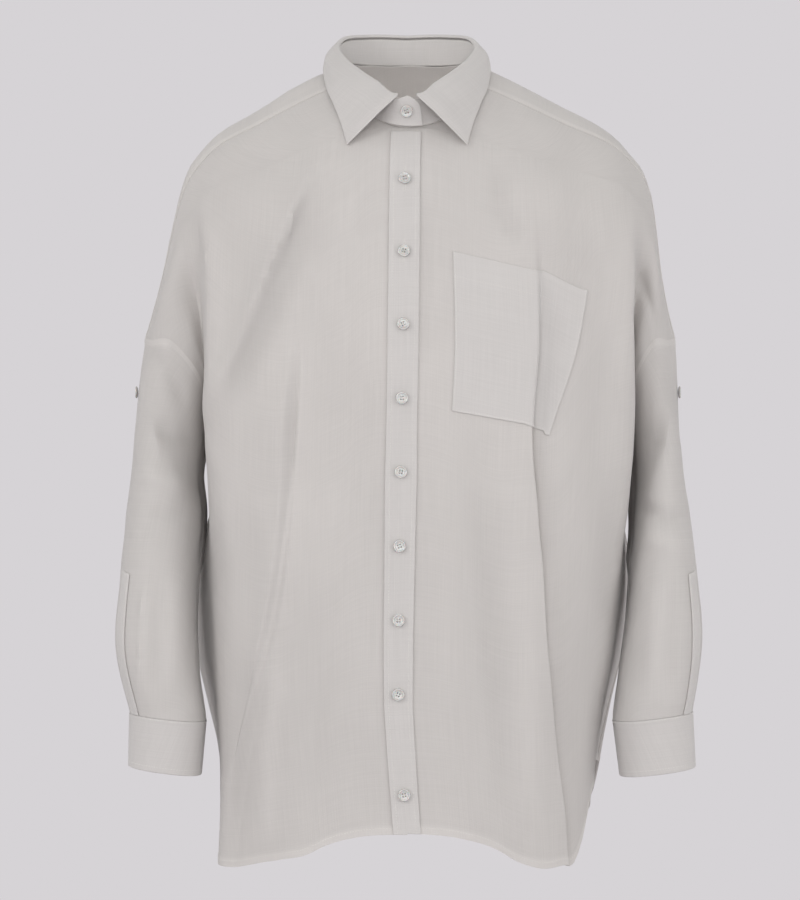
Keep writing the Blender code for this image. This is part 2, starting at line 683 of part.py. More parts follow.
def front_grid(grids):
    return np.concatenate([grids["low_front"], grids["front"][1:]])


def make_pocket(grids, normals, shirt):
    """The pocket lies on the left front. Its columns are the panel's own, between its two edges."""
    grid = front_grid(grids)
    rows, count = np.arange(len(grid)), grid.shape[1]
    fold_edge = BEFORE_FOLD + len(FOLD_STEPS) - 1
    across_top = [np.interp(POCKET_TOP[1].z, grid[:, j, 2], grid[:, j, 0]) for j in range(count)]
    left = np.interp(POCKET_LEFT_X, across_top, np.arange(count))
    inner = [left] + list(range(int(left) + 2, fold_edge + 1))
    down = np.linspace(0, 1, POCKET_ROWS + 1)
    past_top, past_foot = POCKET_PAST_FOLD
    right = fold_edge + past_top + (past_foot - past_top) * down
    columns_at = np.array([inner + [end] for end in right])
    rows_at = np.empty(columns_at.shape)
    for j, column in enumerate(columns_at[0]):
        line = sampled(grid, normals, rows.astype(float), np.full(len(rows), column))[0]
        x = np.interp(POCKET_MIDDLE_Z, line[:, 2], line[:, 0])
        top, foot = np.interp(x, *zip(*POCKET_TOP)), np.interp(x, *zip(*POCKET_FOOT))
        rows_at[:, j] = np.interp(top + (foot - top) * down, line[:, 2], rows)
    spots, sides = sampled(grid, normals, rows_at, columns_at)
    wall("pocket", quads(spots, True), shirt, patch_normals(spots, sides), lift=POCKET_LIFT, inset=0)


def band_grid():
    """The front band's points, up both fronts beside the centre, from the hem to just under the stand."""
    up = np.linspace(0, 1, LOW_ROWS + 1)[:, None]
    share = np.array([BAND_SHARE, BAND_SHARE / 2, 0.0])
    halves = {}
    for side in (-1, 1):
        hem = hem_way(side, share, -1)
        low = hem + (-UNDERARM - hem) * up
        chest = np.append(FRONT_WAYS[1:CHEST_ROWS], NECK_FRONT - BAND_BELOW_STAND)
        ways = np.concatenate([low, np.repeat(chest[:, None], len(share), axis=1)])
        halves[side] = body(side, np.broadcast_to(share, ways.shape), ways)
    return np.concatenate([halves[-1], halves[1][:, 1::-1]], axis=1)


def make_band(shirt):
    """The band down the front, with the buttons along its middle column."""
    spots = band_grid()
    cells = quads(spots, False)
    wall("placket", cells, shirt, lift=LAYER_GAP, inset=0)
    heights = [BUTTON_TOP_Z - BUTTON_PITCH * i for i in range(BUTTONS_ON_PITCH)] + [LAST_BUTTON_Z]
    middle = spots.shape[1] // 2
    rows = np.interp(heights, spots[:, middle, 2], np.arange(len(spots)))
    places, sides = sampled(spots, shared_normals(cells), rows, np.full(len(rows), float(middle)))
    for number, (place, side) in enumerate(zip(places, sides), start=2):
        button(f"button_{number}", place + side * (LAYER_GAP + CLOTH), side, shirt)


def fold_turn(point):
    """The turn of a point of the collar's fold, seen from above: 0 is the front and pi the back."""
    return math.pi - math.atan2(point[0] / FOLD_X, (point[1] - FOLD_MIDDLE_Y) / FOLD_Y)


def collar_curve(turn, part):
    """Points of the collar's fold or edge at turns from the front, on both halves."""
    rows = [getattr(row, part) for row in COLLAR]
    knots = [fold_turn(row.fold) for row in COLLAR]
    if part == "fold":
        rows.append(STAND_TOP)
        knots.append(0.0)
    from_front = np.abs((turn + math.pi) % (2 * math.pi) - math.pi)
    points = along(knots[::-1], rows[::-1], from_front)
    points[:, 0] *= np.where((turn % (2 * math.pi)) < math.pi, 1.0, -1.0)
    points[:, 0] += COLLAR_MIDDLE_X
    return points


def collar_lap(turn):
    """How far the stand's outer end stands off at each turn."""
    start = 2 * math.pi - STAND_LAP - LAP_STARTS
    return (DOUBLED + STAND_LAP_GAP) * smooth((turn - start) / LAP_STEPS)


def outward_of(turn):
    """Level directions away from the neck."""
    return np.stack([np.sin(turn), -np.cos(turn), np.zeros(len(turn))], axis=1)


def neck_loop(grids, normals):
    """Points and normals of the body's neckline, from the front around the left side and back."""
    lines, sides = [], []
    for side in (1, -1):
        front, yoke = grids[side]["front"], grids[side]["yoke"]
        line = np.concatenate([front[CHEST_ROWS:, 0], yoke[1 : len(NECK_YOKE_WAYS), 0]])
        sides.append(np.array([normals[key(point)] for point in line]))
        line[0] = body(side, np.zeros(1), np.array([NECK_FRONT]))[0]
        lines.append(line)
    points = np.concatenate([lines[0], lines[1][-2::-1]])
    directions = np.concatenate([sides[0], sides[1][-2::-1]])
    points[-1], directions[-1] = points[0], directions[0]
    return points, directions


def stand_surface(grids, normals):
    """The stand's rows, from the neckline up to just under the fold, lapped at the front."""
    loop, directions = neck_loop(grids, normals)
    turns = np.linspace(0, 2 * math.pi, len(loop))
    lap = np.array([STAND_LAP / 2, STAND_LAP])
    end = fold_turn(COLLAR[-1].fold)
    fine = np.sort(np.concatenate([-lap, turns, [end, 2 * math.pi - end], 2 * math.pi + lap]))
    around = fine % (2 * math.pi)
    foot = np.stack([np.interp(around, turns, loop[:, i]) for i in range(3)], axis=1)
    away = np.stack([np.interp(around, turns, directions[:, i]) for i in range(3)], axis=1)
    foot = foot + unit(away) * LAYER_GAP
    top = collar_curve(fine, "fold") - np.array([0, 0, FOLD_DROP])
    off = outward_of(fine) * collar_lap(fine)[:, None]
    return np.array([foot + (top - foot) * share + off for share in (0.0, 0.5, 1.0)])


def fall_surface():
    """The fall's rows: over the stand's top, then down to its edge."""
    start = fold_turn(COLLAR[-1].fold)
    turns = np.linspace(start, 2 * math.pi - start, FALL_COLUMNS + 1)
    away, up = outward_of(turns), np.array([0, 0, 1])
    clear = np.maximum(collar_lap(turns), collar_lap(2 * math.pi - turns))[:, None]
    top = collar_curve(turns, "fold") - up * FOLD_DROP + away * clear
    rows = [top + up * turn.up + away * turn.out for turn in FALL_TURNS]
    edge = collar_curve(turns, "edge")
    rows += [rows[-1] + (edge - rows[-1]) * drop.share + away * drop.bulge for drop in FALL_DROPS]
    return np.array(rows)


def make_collar(grids, normals, shirt):
    """The stand, its button and the fall."""
    stand = stand_surface(grids, normals)
    wall("collar_stand", quads(stand, False), shirt, thick=DOUBLED, lift=0, inset=0)
    wall("collar_fall", quads(fall_surface(), True), shirt, thick=DOUBLED, lift=0, inset=0)
    lapped = stand[:, -3:]
    side = shared_normals(quads(lapped, False))[key(lapped[1, 0])]
    button("button_1", lapped[1, 0] + side * DOUBLED, side, shirt)


def make_cuff(side, name, tube, shirt):
    """The cuff and its button, in the lap at the back."""
    cuff = cuff_surface(side, tube[-1])
    cells = quads(cuff, side > 0)
    wall(f"cuff_{name}", cells, shirt, thick=DOUBLED, lift=CUFF_LIFT)
    spot = cuff[CUFF_BUTTON]
    outward = shared_normals(cells)[key(spot)]
    button(f"cuff_button_{name}", spot + outward * (DOUBLED + CUFF_LIFT), outward, shirt)


def make_sleeve_trim(side, name, tube, normals, shirt):
    """The roll tab inside the sleeve, its button outside, and the band beside the slit."""
    for label, (r0, r1), (c0, c1), lift in (
        ("roll_tab", TAB_RINGS, TAB_COLUMNS, TAB_LIFT),
        ("sleeve_placket", SLIT_RINGS, SLIT_COLUMNS, LAYER_GAP),
    ):
        patch = tube[r0 : r1 + 1, c0 : c1 + 1]
        wall(f"{label}_{name}", quads(patch, side > 0), shirt, normals, TRIM, lift)
    row, column = TAB_BUTTON
    spots, sides = sampled(tube, normals, np.array([row]), np.array([column]))
    button(f"tab_button_{name}", spots[0], sides[0], shirt)


def main():
    for old in list(bpy.data.objects):
        bpy.data.objects.remove(old)
    shirt = bpy.data.collections.new("linen_shirt")
    bpy.context.scene.collection.children.link(shirt)

    grids = {side: side_grids(side) for side in (-1, 1)}
    names = {-1: "right", 1: "left"}
    cells, tubes = {}, {}
    for side, name in names.items():
        g = grids[side]
        cells[f"front_{name}"] = quads(g["low_front"], side < 0) + quads(g["front"], side < 0)
        tubes[side] = sleeve_surface(side, *armhole(g), np.linspace(0, 1, SLEEVE_RINGS + 1))
        cells[f"sleeve_{name}"] = quads(tubes[side], side > 0, closed=True)
    cells["yoke"] = quads(grids[-1]["yoke"], True) + quads(grids[1]["yoke"], False)
    cells["back"] = []
    for side in (-1, 1):
        for part in ("back", "low_back"):
            cells["back"] += quads(grids[side][part], side < 0)
    trunk = [cell for name, part in cells.items() if "sleeve" not in name for cell in part]
    normals = shared_normals(trunk, cells["sleeve_right"], cells["sleeve_left"])
    for name, part in cells.items():
        wall(name, part, shirt, normals)

    make_pocket(grids[1], normals, shirt)
    make_band(shirt)
    make_collar(grids, normals, shirt)
    for side, name in names.items():
        make_cuff(side, name, tubes[side], shirt)
        make_sleeve_trim(side, name, tubes[side], normals, shirt)


if __name__ == "__main__":
    main()
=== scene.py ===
"""The linen shirt's looks: fine cloth with its creases, seams, stitches and buttons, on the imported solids.

Metres, in the row frame: +Z up, -Y the front, +X the wearer's left. Long tables are in thousandths:
lengths in millimetres, and shares. The tables and the functions of the cloth's form are those of the
solids, so that every piece lies where its solid does.
"""

import math
from collections import namedtuple

import bmesh
import bpy
import numpy as np
from mathutils import Matrix, Vector, noise


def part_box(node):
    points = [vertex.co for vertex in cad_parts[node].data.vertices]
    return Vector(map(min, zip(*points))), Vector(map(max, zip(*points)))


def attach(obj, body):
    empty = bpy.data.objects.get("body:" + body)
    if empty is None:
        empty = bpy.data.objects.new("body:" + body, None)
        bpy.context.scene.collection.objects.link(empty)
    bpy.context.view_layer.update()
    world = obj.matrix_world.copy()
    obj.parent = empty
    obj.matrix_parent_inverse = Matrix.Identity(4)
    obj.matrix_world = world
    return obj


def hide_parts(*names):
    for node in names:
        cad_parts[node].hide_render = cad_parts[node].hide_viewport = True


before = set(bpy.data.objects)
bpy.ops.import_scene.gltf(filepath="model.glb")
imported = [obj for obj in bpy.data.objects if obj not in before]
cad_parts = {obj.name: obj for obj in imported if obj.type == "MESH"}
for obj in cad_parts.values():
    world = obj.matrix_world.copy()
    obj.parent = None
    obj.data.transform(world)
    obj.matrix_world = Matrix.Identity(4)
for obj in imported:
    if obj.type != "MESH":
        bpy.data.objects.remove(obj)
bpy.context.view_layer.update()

# How thick the cloth is, and the gap between two layers
CLOTH = 0.0012
DOUBLED = 0.0020
TRIM = 0.0010
LAYER_GAP = 0.0003

# How far the fronts and the band run past the centre, as shares of the way to the side seam
LAP_SHARE = 0.040
BAND_SHARE = 0.0435
BAND_BELOW_STAND = 0.003

# Buttons
BUTTON_THICK = 0.0022
BUTTON_GAP = 0.0006
BUTTON_TOP_Z = -0.1064
BUTTON_PITCH = 0.0677
BUTTONS_ON_PITCH = 8
LAST_BUTTON_Z = -0.672

# Distances from the shoulder ridge along the cloth, negative in front, and the underarm's height
UNDERARM = 0.30
YOKE_FRONT = -0.026
YOKE_BACK = 0.085
UNDERARM_Z = -0.340
LOWEST_WAY = 0.69

# Rows and columns of the solids' cells
CHEST_ROWS = 8
BACK_ROWS = 8
YOKE_BACK_ROWS = 3
NECK_STEPS = 12
BEFORE_FOLD = 6
AFTER_FOLD = 6
FOLD_STEPS = (-1.0, -0.45, 0.0, 0.45, 1.0)
FOLD_SHARE = 0.045
SLEEVE_RINGS = 10

# Columns of the body tables, as shares of the way from the centre to the side
COLUMN_SHARES = (-0.45, 0.0, 0.45, 0.68, 0.78, 0.88, 1.0)

# The neckline seen from above is an ellipse. Its shares are looked for from, to, and in how many places.
NECK_X = 0.068
NECK_Y = 0.066
NECK_MIDDLE_Y = -0.016
NECK_SEARCH = (0, 0.6, 240)
NECK_HALVINGS = 40
NECK_PLACES = 241
# A way this close to the neck's front end still counts as before it
NEARLY = 1e-6


def table(kind, *rows):
    """Rows of a table that is given in thousandths."""
    return [kind(*(np.array(row) / 1000)) for row in rows]


# Upper sections: the way, then the centre, chest, curtain, valley, arm and edge points,
# each as x on the right side, x on the left side, y and z
UPPER = (
    (-300, (0, 0, -140, -340), (140, 150, -125, -340), (189, 211, -85, -340), (189, 209, -50, -340),
     (183.5, 200, -20, -340), (187, 203, 10, -340)),
    (-235, (0, 0, -138, -270), (140, 150, -122, -270), (190, 212, -85, -272), (193, 211, -49, -276),
     (194, 209, -46, -282), (197, 211, -46, -290)),
    (-160, (0, 0, -130, -200), (140, 150, -115, -200), (190, 210, -82, -205), (198, 212, -50, -215),
     (209, 220, -56, -236), (222, 229, -55, -255.5)),
    (-70, (0, 0, -90, -67), (140, 150, -85, -105), (194, 212, -62, -127), (214, 229, -50, -155),
     (232, 238, -45, -205), (244, 246, -35, -252.5)),
    (0, (0, 0, 0, 27), (140, 145, 4, -27), (197.5, 210.5, 4, -68.5), (216, 230, 2, -101),
     (235.5, 241.5, 0, -190), (253, 255, 0, -249)),
    (70, (0, 0, 90, -15), (140, 145, 80, -79), (197, 214, 62, -120), (216, 231, 52, -155),
     (232, 240, 44, -205), (246, 248, 35, -252)),
    (160, (0, 0, 124, -160), (140, 145, 108, -175), (190, 208, 80, -200), (203, 219, 66, -215),
     (213, 224, 60, -238), (224, 231, 56, -262)),
    (235, (0, 0, 132, -262), (140, 146, 114, -265), (188, 206, 78, -272), (191, 209, 58, -278),
     (194, 209, 52, -288), (198, 211, 46, -300)),
    (300, (0, 0, 132, -340), (138, 146, 116, -340), (184, 200, 78, -340), (185, 201, 55, -340),
     (184.5, 200.5, 34, -340), (187, 203, 10, -340)),
)

# Lower sections: the height, then depths at the centre, the corners where front or back turns, and the side
DEPTHS = "z front back corner_right corner_left corner_front corner_back side_right side_left side_y"
Lower = namedtuple("Lower", DEPTHS)
LOWER = table(
    Lower,
    (-375, -142, 132, 187, 209, -85, 78, 182.5, 198.5, 14),
    (-410, -144, 132, 185, 206, -85, 78, 189, 204, 25),
    (-460, -145, 132, 181, 199, -85, 82, 206, 214.5, 45),
    (-550, -146, 131, 177, 190, -85, 82, 206.5, 208.5, 40),
    (-600, -146, 130, 173, 183, -85, 80, 190.5, 195.5, 25),
    (-660, -146, 129, 168, 178, -85, 78, 173, 183, 10),
    (-770, -148, 128, 170, 179, -88, 76, 169, 181, 0),
)
# The other points of a lower section, between its centre, its corner and its side
CHEST_SHARE = 0.75
CHEST_BACK = 0.016
VALLEY_SHARE = 0.36
ARM_SHARE = 0.70

# The hem: the share of the way from the centre to the side seam, and its heights at the right front,
# the left front and the back
HEM = np.array([
    (0, -708.5, -707.5, -728), (170, -711.5, -712.5, -729), (250, -718, -720, -729),
    (320, -727.5, -733, -728), (400, -732, -740.5, -727), (500, -737, -739, -724),
    (555, -740.5, -740, -720.5), (600, -743, -737, -717.5), (640, -744, -700, -713.5),
    (665, -744, -678, -711), (700, -742, -670, -706), (850, -702, -656, -682), (1000, -662, -650, -656),
]) / 1000

# The front edge wanders a little from the middle, and takes the cloth near it along: z and x
WANDER = np.array([
    (-760, -2), (-710, -2.2), (-664, -5.6), (-620, -8.6), (-590, -10.4), (-530, -10.4), (-450, -9.2),
    (-300, -6.6), (-90, -4.2), (-30, -2), (30, 0),
]) / 1000
WANDER_SHARE = 0.62

# The one large fold that each front hangs in: z, and how far out its edge runs right and left
FOLD_PATH = np.array([
    (-770, 166, 157), (-700, 158, 151), (-620, 146, 142), (-540, 128, 134), (-470, 116, 129),
    (-400, 110, 123), (-340, 108, 119), (-265, 103, 124), (-190, 96, 121), (-80, 92, 108), (30, 88, 98),
]) / 1000
FOLD_SEARCH = (0.05, 0.72, 60)
# The height it starts at and the height over which it grows, how far the cloth past its edge stands
# off or lies back, over what width, how far level and how it fades, and how far, where and how wide
# its edge is pulled over its other side
Fold = namedtuple("Fold", "top grows lift step level fades pull pull_at pull_wide")
FOLDS = {
    -1: Fold(-0.24, 0.10, -0.010, 0.012, 0.008, 0.035, 0.0, 0.009, 0.012),
    1: Fold(-0.13, 0.16, 0.013, 0.010, 0.0, 0.040, 0.011, 0.009, 0.012),
}
STEP_BEFORE = 0.004
FRONT_FADES = 0.05

# Soft troughs of the fronts, seen from the front: the side, two ends, how deep and how wide
Trough = namedtuple("Trough", "side x0 z0 x1 z1 deep wide")
TROUGHS = (
    Trough(-1, 0.082, -0.082, 0.185, -0.330, 0.009, 0.013),
    Trough(1, 0.052, -0.345, 0.082, -0.760, 0.006, 0.020),
)
# A trough starts and ends softly, over these shares of its length
TROUGH_START = 0.25
TROUGH_END = 0.20
TROUGH_PAST = 0.05
# A step small enough to take a direction along the surface
NEAR = 0.001

# Sleeve sections: how round they are, and the share of the way over which their columns become even
ROUNDNESS = 2.3
EVEN_WAY = 0.3
# For each: the outer and inner ends, and the front and back
Sleeve = namedtuple("Sleeve", "way outer_x outer_z inner_x inner_z front back")
SLEEVES = {
    -1: table(
        Sleeve,
        (120, 258, -290, 196, -374, -62, 58), (300, 262.5, -357, 194, -420, -80, 36),
        (580, 271, -461, 198.5, -490, -105, 8), (840, 274.5, -546, 196.5, -565, -122, -14),
        (1000, 261, -601, 190, -609, -124, -32),
    ),
    1: table(
        Sleeve,
        (120, 256.2, -290, 211.5, -374, -62, 58), (300, 259, -357, 211, -420, -80, 36),
        (580, 269, -461, 206, -490, -105, 8), (840, 274, -546, 196.5, -565, -122, -14),
        (1000, 264.5, -600, 190.5, -609, -124, -32),
    ),
}
# The cuffs' lower ends, the share of the way down where they start, and where each laps itself
CUFF_ENDS = {
    -1: table(Sleeve, (1000, 262, -651, 194.5, -660, -119, -40))[0],
    1: table(Sleeve, (1000, 267, -652, 197, -661, -119, -40))[0],
}
CUFF_START = 0.005
CUFF_END_SHARE = 0.70
CUFF_LAP_COLUMNS = 3
CUFF_STEP_COLUMNS = 2
CUFF_LAP_GAP = 0.0005
CUFF_LIFT = -0.0012

# The tab inside each sleeve and the band beside its slit, in the sleeve's rings and columns
TAB_RINGS, TAB_COLUMNS = (1, 5), (13, 15)
TAB_LIFT = -CLOTH - 2 * LAYER_GAP - TRIM
SLIT_RINGS, SLIT_COLUMNS = (6, 10), (11, 13)

# The pocket: its left edge and its corners, seen from the front
Corner = namedtuple("Corner", "x z")
POCKET_LEFT_X = 0.0405
POCKET_TOP = (Corner(0.041, -0.174), Corner(0.121, -0.192), Corner(0.163, -0.209))
POCKET_FOOT = (Corner(0.039, -0.321), Corner(0.110, -0.333), Corner(0.1395, -0.3430))
POCKET_MIDDLE_Z = -0.25
# How far its right edge lies past the fold, in columns, at the top and at the foot
POCKET_PAST_FOLD = (0.95, 0.10)

# Half of the collar, from the middle of the back to the front: its top fold and its outer edge
Collar = namedtuple("Collar", "fold edge")
COLLAR = table(
    Collar,
    ((0, 52, 47), (0, 68, 10)), ((40, 43, 46.5), (45, 56, 9)), ((60, 20, 41), (72, 27, 10.5)),
    ((65.5, -2, 30), (78.5, -4, 8.5)), ((58.5, -25, 16.5), (75.8, -34, -12)),
    ((44.5, -50, 2), (68.5, -59, -32)), ((27, -72, -12.5), (61, -77, -53)),
    ((8.5, -88, -26), (55.5, -92, -73.5)),
)
# The ellipse, seen from above, that turns around the collar are counted on
FOLD_X = 0.0655
FOLD_Y = 0.0715
FOLD_MIDDLE_Y = -0.018
COLLAR_MIDDLE_X = -0.0020
# The stand's front top, how far it laps past the middle and over what turn its end steps out
STAND_TOP = (0.0, -0.0895, -0.0235)
STAND_LAP = 0.17
LAP_STARTS = 0.29
LAP_STEPS = 0.22
STAND_LAP_GAP = 0.0012
# The stand ends this far below the fold, and the fall's first rows turn over it: up and out
FOLD_DROP = 0.0036
Turn = namedtuple("Turn", "up out")
FALL_TURNS = (Turn(0.0012, 0.0003), Turn(0.0026, 0.0014), Turn(0.0008, 0.0040))
# Then it falls to its edge: share of the way, and how far it bulges
Drop = namedtuple("Drop", "share bulge")
FALL_DROPS = (Drop(0.3, 0.0036), Drop(0.65, 0.0024), Drop(1.0, 0.0))


def along(knots, values, way, each=False):
    """A smooth curve through values at the knots. With each, sample i follows column i of values."""
    knots = np.asarray(knots, float)
    values = np.asarray(values, float)
    way = np.asarray(way, float)
    step = np.diff(knots).reshape((-1,) + (1,) * (values.ndim - 1))
    rise = np.diff(values, axis=0) / step
    slope = np.empty_like(values)
    slope[1:-1] = (step[1:] * rise[:-1] + step[:-1] * rise[1:]) / (step[1:] + step[:-1])
    slope[0] = 1.5 * rise[0] - 0.5 * slope[1]
    slope[-1] = 1.5 * rise[-1] - 0.5 * slope[-2]
    i = np.clip(np.searchsorted(knots, way, side="right") - 1, 0, len(knots) - 2)
    span = knots[i + 1] - knots[i]
    t = (way - knots[i]) / span
    pick = (i, np.arange(len(i))) if each else (i,)
    after = (i + 1, np.arange(len(i))) if each else (i + 1,)
    shape = t.shape + (1,) * (values[pick].ndim - t.ndim)
    t, span = t.reshape(shape), span.reshape(shape)
    return (
        (2 * t**3 - 3 * t**2 + 1) * values[pick]
        + (t**3 - 2 * t**2 + t) * span * slope[pick]
        + (3 * t**2 - 2 * t**3) * values[after]
        + (t**3 - t**2) * span * slope[after]
    )


def smooth(t):
    t = np.clip(t, 0, 1)
    return t * t * (3 - 2 * t)


def unit(v):
    return v / np.maximum(np.linalg.norm(v, axis=-1, keepdims=True), 1e-12)


def lower_points(row, side, face):
    """Centre, chest, corner, valley, arm and side points of one lower section."""
    corner_x = row.corner_left if side > 0 else row.corner_right
    side_x = row.side_left if side > 0 else row.side_right
    centre_y = row.front if face < 0 else row.back
    corner_y = row.corner_front if face < 0 else row.corner_back
    corner, seam = np.array([corner_x, corner_y]), np.array([side_x, row.side_y])
    flat = [
        (0, centre_y),
        (CHEST_SHARE * corner_x, centre_y - face * CHEST_BACK),
        corner,
        corner + (seam - corner) * VALLEY_SHARE,
        corner + (seam - corner) * ARM_SHARE,
        seam,
    ]
    return [(x, y, row.z) for x, y in flat]


def section_table(side):
    """The ways and the points of all sections of one side, from the front hem to the back hem."""
    ways, rows = [], []
    for face in (-1, 1):
        for row in LOWER:
            ways.append(face * (UNDERARM + UNDERARM_Z - row.z))
            rows.append(lower_points(row, side, face))
    for way, *points in UPPER:
        ways.append(way / 1000)
        rows.append(np.array(points)[:, [int(side > 0), 2, 3]] / 1000)
    order = np.argsort(ways)
    return np.array(ways)[order], np.array(rows, float)[order]


TABLES = {side: section_table(side) for side in (-1, 1)}


def body_base(side, share, way):
    """Points of the smooth body surface, before the folds."""
    ways, rows = TABLES[side]
    other = TABLES[-side][1]
    mirrored = other[:, 1:2] * np.array([-1, 1, 1])
    both = np.concatenate([mirrored, rows], axis=1)
    lines = along(COLUMN_SHARES, both.transpose(1, 0, 2), share)
    points = along(ways, lines.transpose(1, 0, 2), way, each=True)
    points[:, 0] *= side
    points[:, 0] += np.interp(points[:, 2], *WANDER.T) * (1 - smooth(np.abs(share) / WANDER_SHARE))
    return points


def fold_x(side, z):
    heights, right, left = FOLD_PATH.T
    return along(heights, left if side > 0 else right, z)


def fold_share(side, way):
    """The share at which the fold's edge crosses each way. It is the same past the ridge."""
    shares = np.linspace(*FOLD_SEARCH)
    found = []
    for w in np.minimum(way, YOKE_FRONT):
        row = body_base(side, shares, np.full(len(shares), w))
        found.append(np.interp(0, np.abs(row[:, 0]) - fold_x(side, row[:, 2]), shares))
    return np.array(found)


def fold_shift(side, way, points):
    """How far the folds move each point: out of the cloth, and sideways along it."""
    front = smooth((YOKE_FRONT - way) / FRONT_FADES)
    x, z = np.abs(points[:, 0]), points[:, 2]
    across = x - fold_x(side, z)
    fold = FOLDS[side]
    grown = front * smooth((fold.top - z) / fold.grows)
    risen = smooth((across + STEP_BEFORE) / fold.step)
    risen *= np.exp(-np.maximum(across - fold.level, 0) / fold.fades)
    outward = grown * fold.lift * risen
    sideways = -grown * fold.pull * np.exp(-(((across - fold.pull_at) / fold.pull_wide) ** 2))
    for trough in TROUGHS:
        if trough.side == side:
            line = np.array([trough.x1 - trough.x0, trough.z1 - trough.z0])
            length = np.linalg.norm(line)
            line = line / length
            from_end = np.stack([x - trough.x0, z - trough.z0], axis=1)
            t = (from_end @ line) / length
            off = from_end[:, 0] * line[1] - from_end[:, 1] * line[0]
            ends = smooth((t + TROUGH_PAST) / TROUGH_START) * smooth((1 + TROUGH_PAST - t) / TROUGH_END)
            outward -= front * trough.deep * ends * np.exp(-((off / trough.wide) ** 2))
    return outward, sideways


def body(side, share, way):
    """Points of the body's outer face, with the large folds."""
    share, way = np.broadcast_arrays(np.asarray(share, float), np.asarray(way, float))
    form = share.shape
    share, way = share.ravel(), way.ravel()
    points = body_base(side, share, way)
    across = unit(body_base(side, share + NEAR, way) - points)
    down = unit(body_base(side, share, way + NEAR) - points)
    normal = unit(np.cross(down, across)) * side
    outward, sideways = fold_shift(side, way, points)
    points = points + normal * outward[:, None] + across * sideways[:, None]
    return points.reshape(form + (3,))


def neck_share(side, way):
    """The share at which the neckline cuts each way, or 0 below the neck."""
    shares = np.linspace(*NECK_SEARCH)
    found = []
    for w in way:
        row = body_base(side, shares, np.full(len(shares), w))
        inside = (row[:, 0] / NECK_X) ** 2 + ((row[:, 1] - NECK_MIDDLE_Y) / NECK_Y) ** 2 - 1
        hits = np.nonzero(inside < 0)[0]
        cut = 0.0
        if len(hits):
            pair = slice(hits[-1], hits[-1] + 2)
            cut = np.interp(0, inside[pair], shares[pair])
        found.append(cut)
    return np.array(found)


def neck_end(low, high):
    """The way at which the neckline crosses the centre, between one outside it and one inside."""
    for _ in range(NECK_HALVINGS):
        middle = (low + high) / 2
        y = body_base(1, np.zeros(1), np.array([middle]))[0, 1]
        if abs(y - NECK_MIDDLE_Y) > NECK_Y:
            low = middle
        else:
            high = middle
    return low


NECK_FRONT = neck_end(-0.15, 0.0)
NECK_BACK = neck_end(0.15, 0.0)


def columns(side, way):
    """Shares of the columns on each way: they start at the neckline or centre and follow the fold."""
    start = neck_share(side, way)
    before_neck = way < NECK_FRONT + NEARLY
    start = np.where(before_neck, -side * LAP_SHARE, start)
    fold = fold_share(side, way)
    follow = 1 - smooth((way - YOKE_FRONT) / (YOKE_BACK - YOKE_FRONT))
    rows = []
    for a, f, k in zip(start, fold, follow):
        first = np.linspace(a, f - FOLD_SHARE, BEFORE_FOLD + 1)[:-1]
        middle = f + FOLD_SHARE * np.array(FOLD_STEPS)
        last = np.linspace(f + FOLD_SHARE, 1, AFTER_FOLD + 1)[1:]
        follows = np.concatenate([first, middle, last])
        even = a + (1 - a) * np.linspace(0, 1, len(follows))
        rows.append(k * follows + (1 - k) * even)
    return np.array(rows)


def hem_way(side, share, face):
    """The way of the hem below each share."""
    shares, right, left, back = HEM.T
    heights = (back if face > 0 else left if side > 0 else right).copy()
    heights[-1] = (left + right + 2 * back)[-1] / 4
    return face * (UNDERARM + UNDERARM_Z - along(shares, heights, np.abs(share)))


def neckline(side, way):
    """Points of the neckline, and their angles seen from above: 0 is the front and pi the back."""
    points = body(side, neck_share(side, way), way)
    turn = np.arctan2(np.abs(points[:, 0]) / NECK_X, (NECK_MIDDLE_Y - points[:, 1]) / NECK_Y)
    return points, turn


def neck_ways(count):
    """Ways that part the neckline into even turns, with the yoke's front seam as one of them."""
    fine = np.linspace(NECK_FRONT, NECK_BACK, NECK_PLACES)
    turn = neckline(1, fine)[1]
    seam = np.interp(YOKE_FRONT, fine, turn)
    before = round(count * seam / math.pi)
    front = np.interp(np.linspace(0, seam, before + 1), turn, fine)
    back = np.interp(np.linspace(seam, math.pi, count - before + 1), turn, fine)
    front[0], front[-1], back[0], back[-1] = NECK_FRONT, YOKE_FRONT, YOKE_FRONT, NECK_BACK
    return front, back


NECK_FRONT_WAYS, NECK_YOKE_WAYS = neck_ways(NECK_STEPS)
FRONT_WAYS = np.concatenate([np.linspace(-UNDERARM, NECK_FRONT, CHEST_ROWS + 1)[:-1], NECK_FRONT_WAYS])
YOKE_WAYS = np.concatenate([NECK_YOKE_WAYS, np.linspace(NECK_BACK, YOKE_BACK, YOKE_BACK_ROWS + 1)[1:]])
BACK_WAYS = np.linspace(YOKE_BACK, UNDERARM, BACK_ROWS + 1)


def sleeve_section(row, side, angles):
    """One sleeve section: angle 0 is the inner side, and a quarter turn on is the front."""
    c, s = np.cos(angles), np.sin(angles)
    along_x = np.sign(c) * np.abs(c) ** (2 / ROUNDNESS)
    along_y = np.sign(s) * np.abs(s) ** (2 / ROUNDNESS)
    x = (row.outer_x + row.inner_x) / 2 - along_x * (row.outer_x - row.inner_x) / 2
    z = (row.outer_z + row.inner_z) / 2 - along_x * (row.outer_z - row.inner_z) / 2
    y = (row.front + row.back) / 2 + along_y * (row.front - row.back) / 2
    return np.stack([side * x, y, z], axis=-1)


def fold_turn(point):
    """The turn of a point of the collar's fold, seen from above: 0 is the front and pi the back."""
    return math.pi - math.atan2(point[0] / FOLD_X, (point[1] - FOLD_MIDDLE_Y) / FOLD_Y)


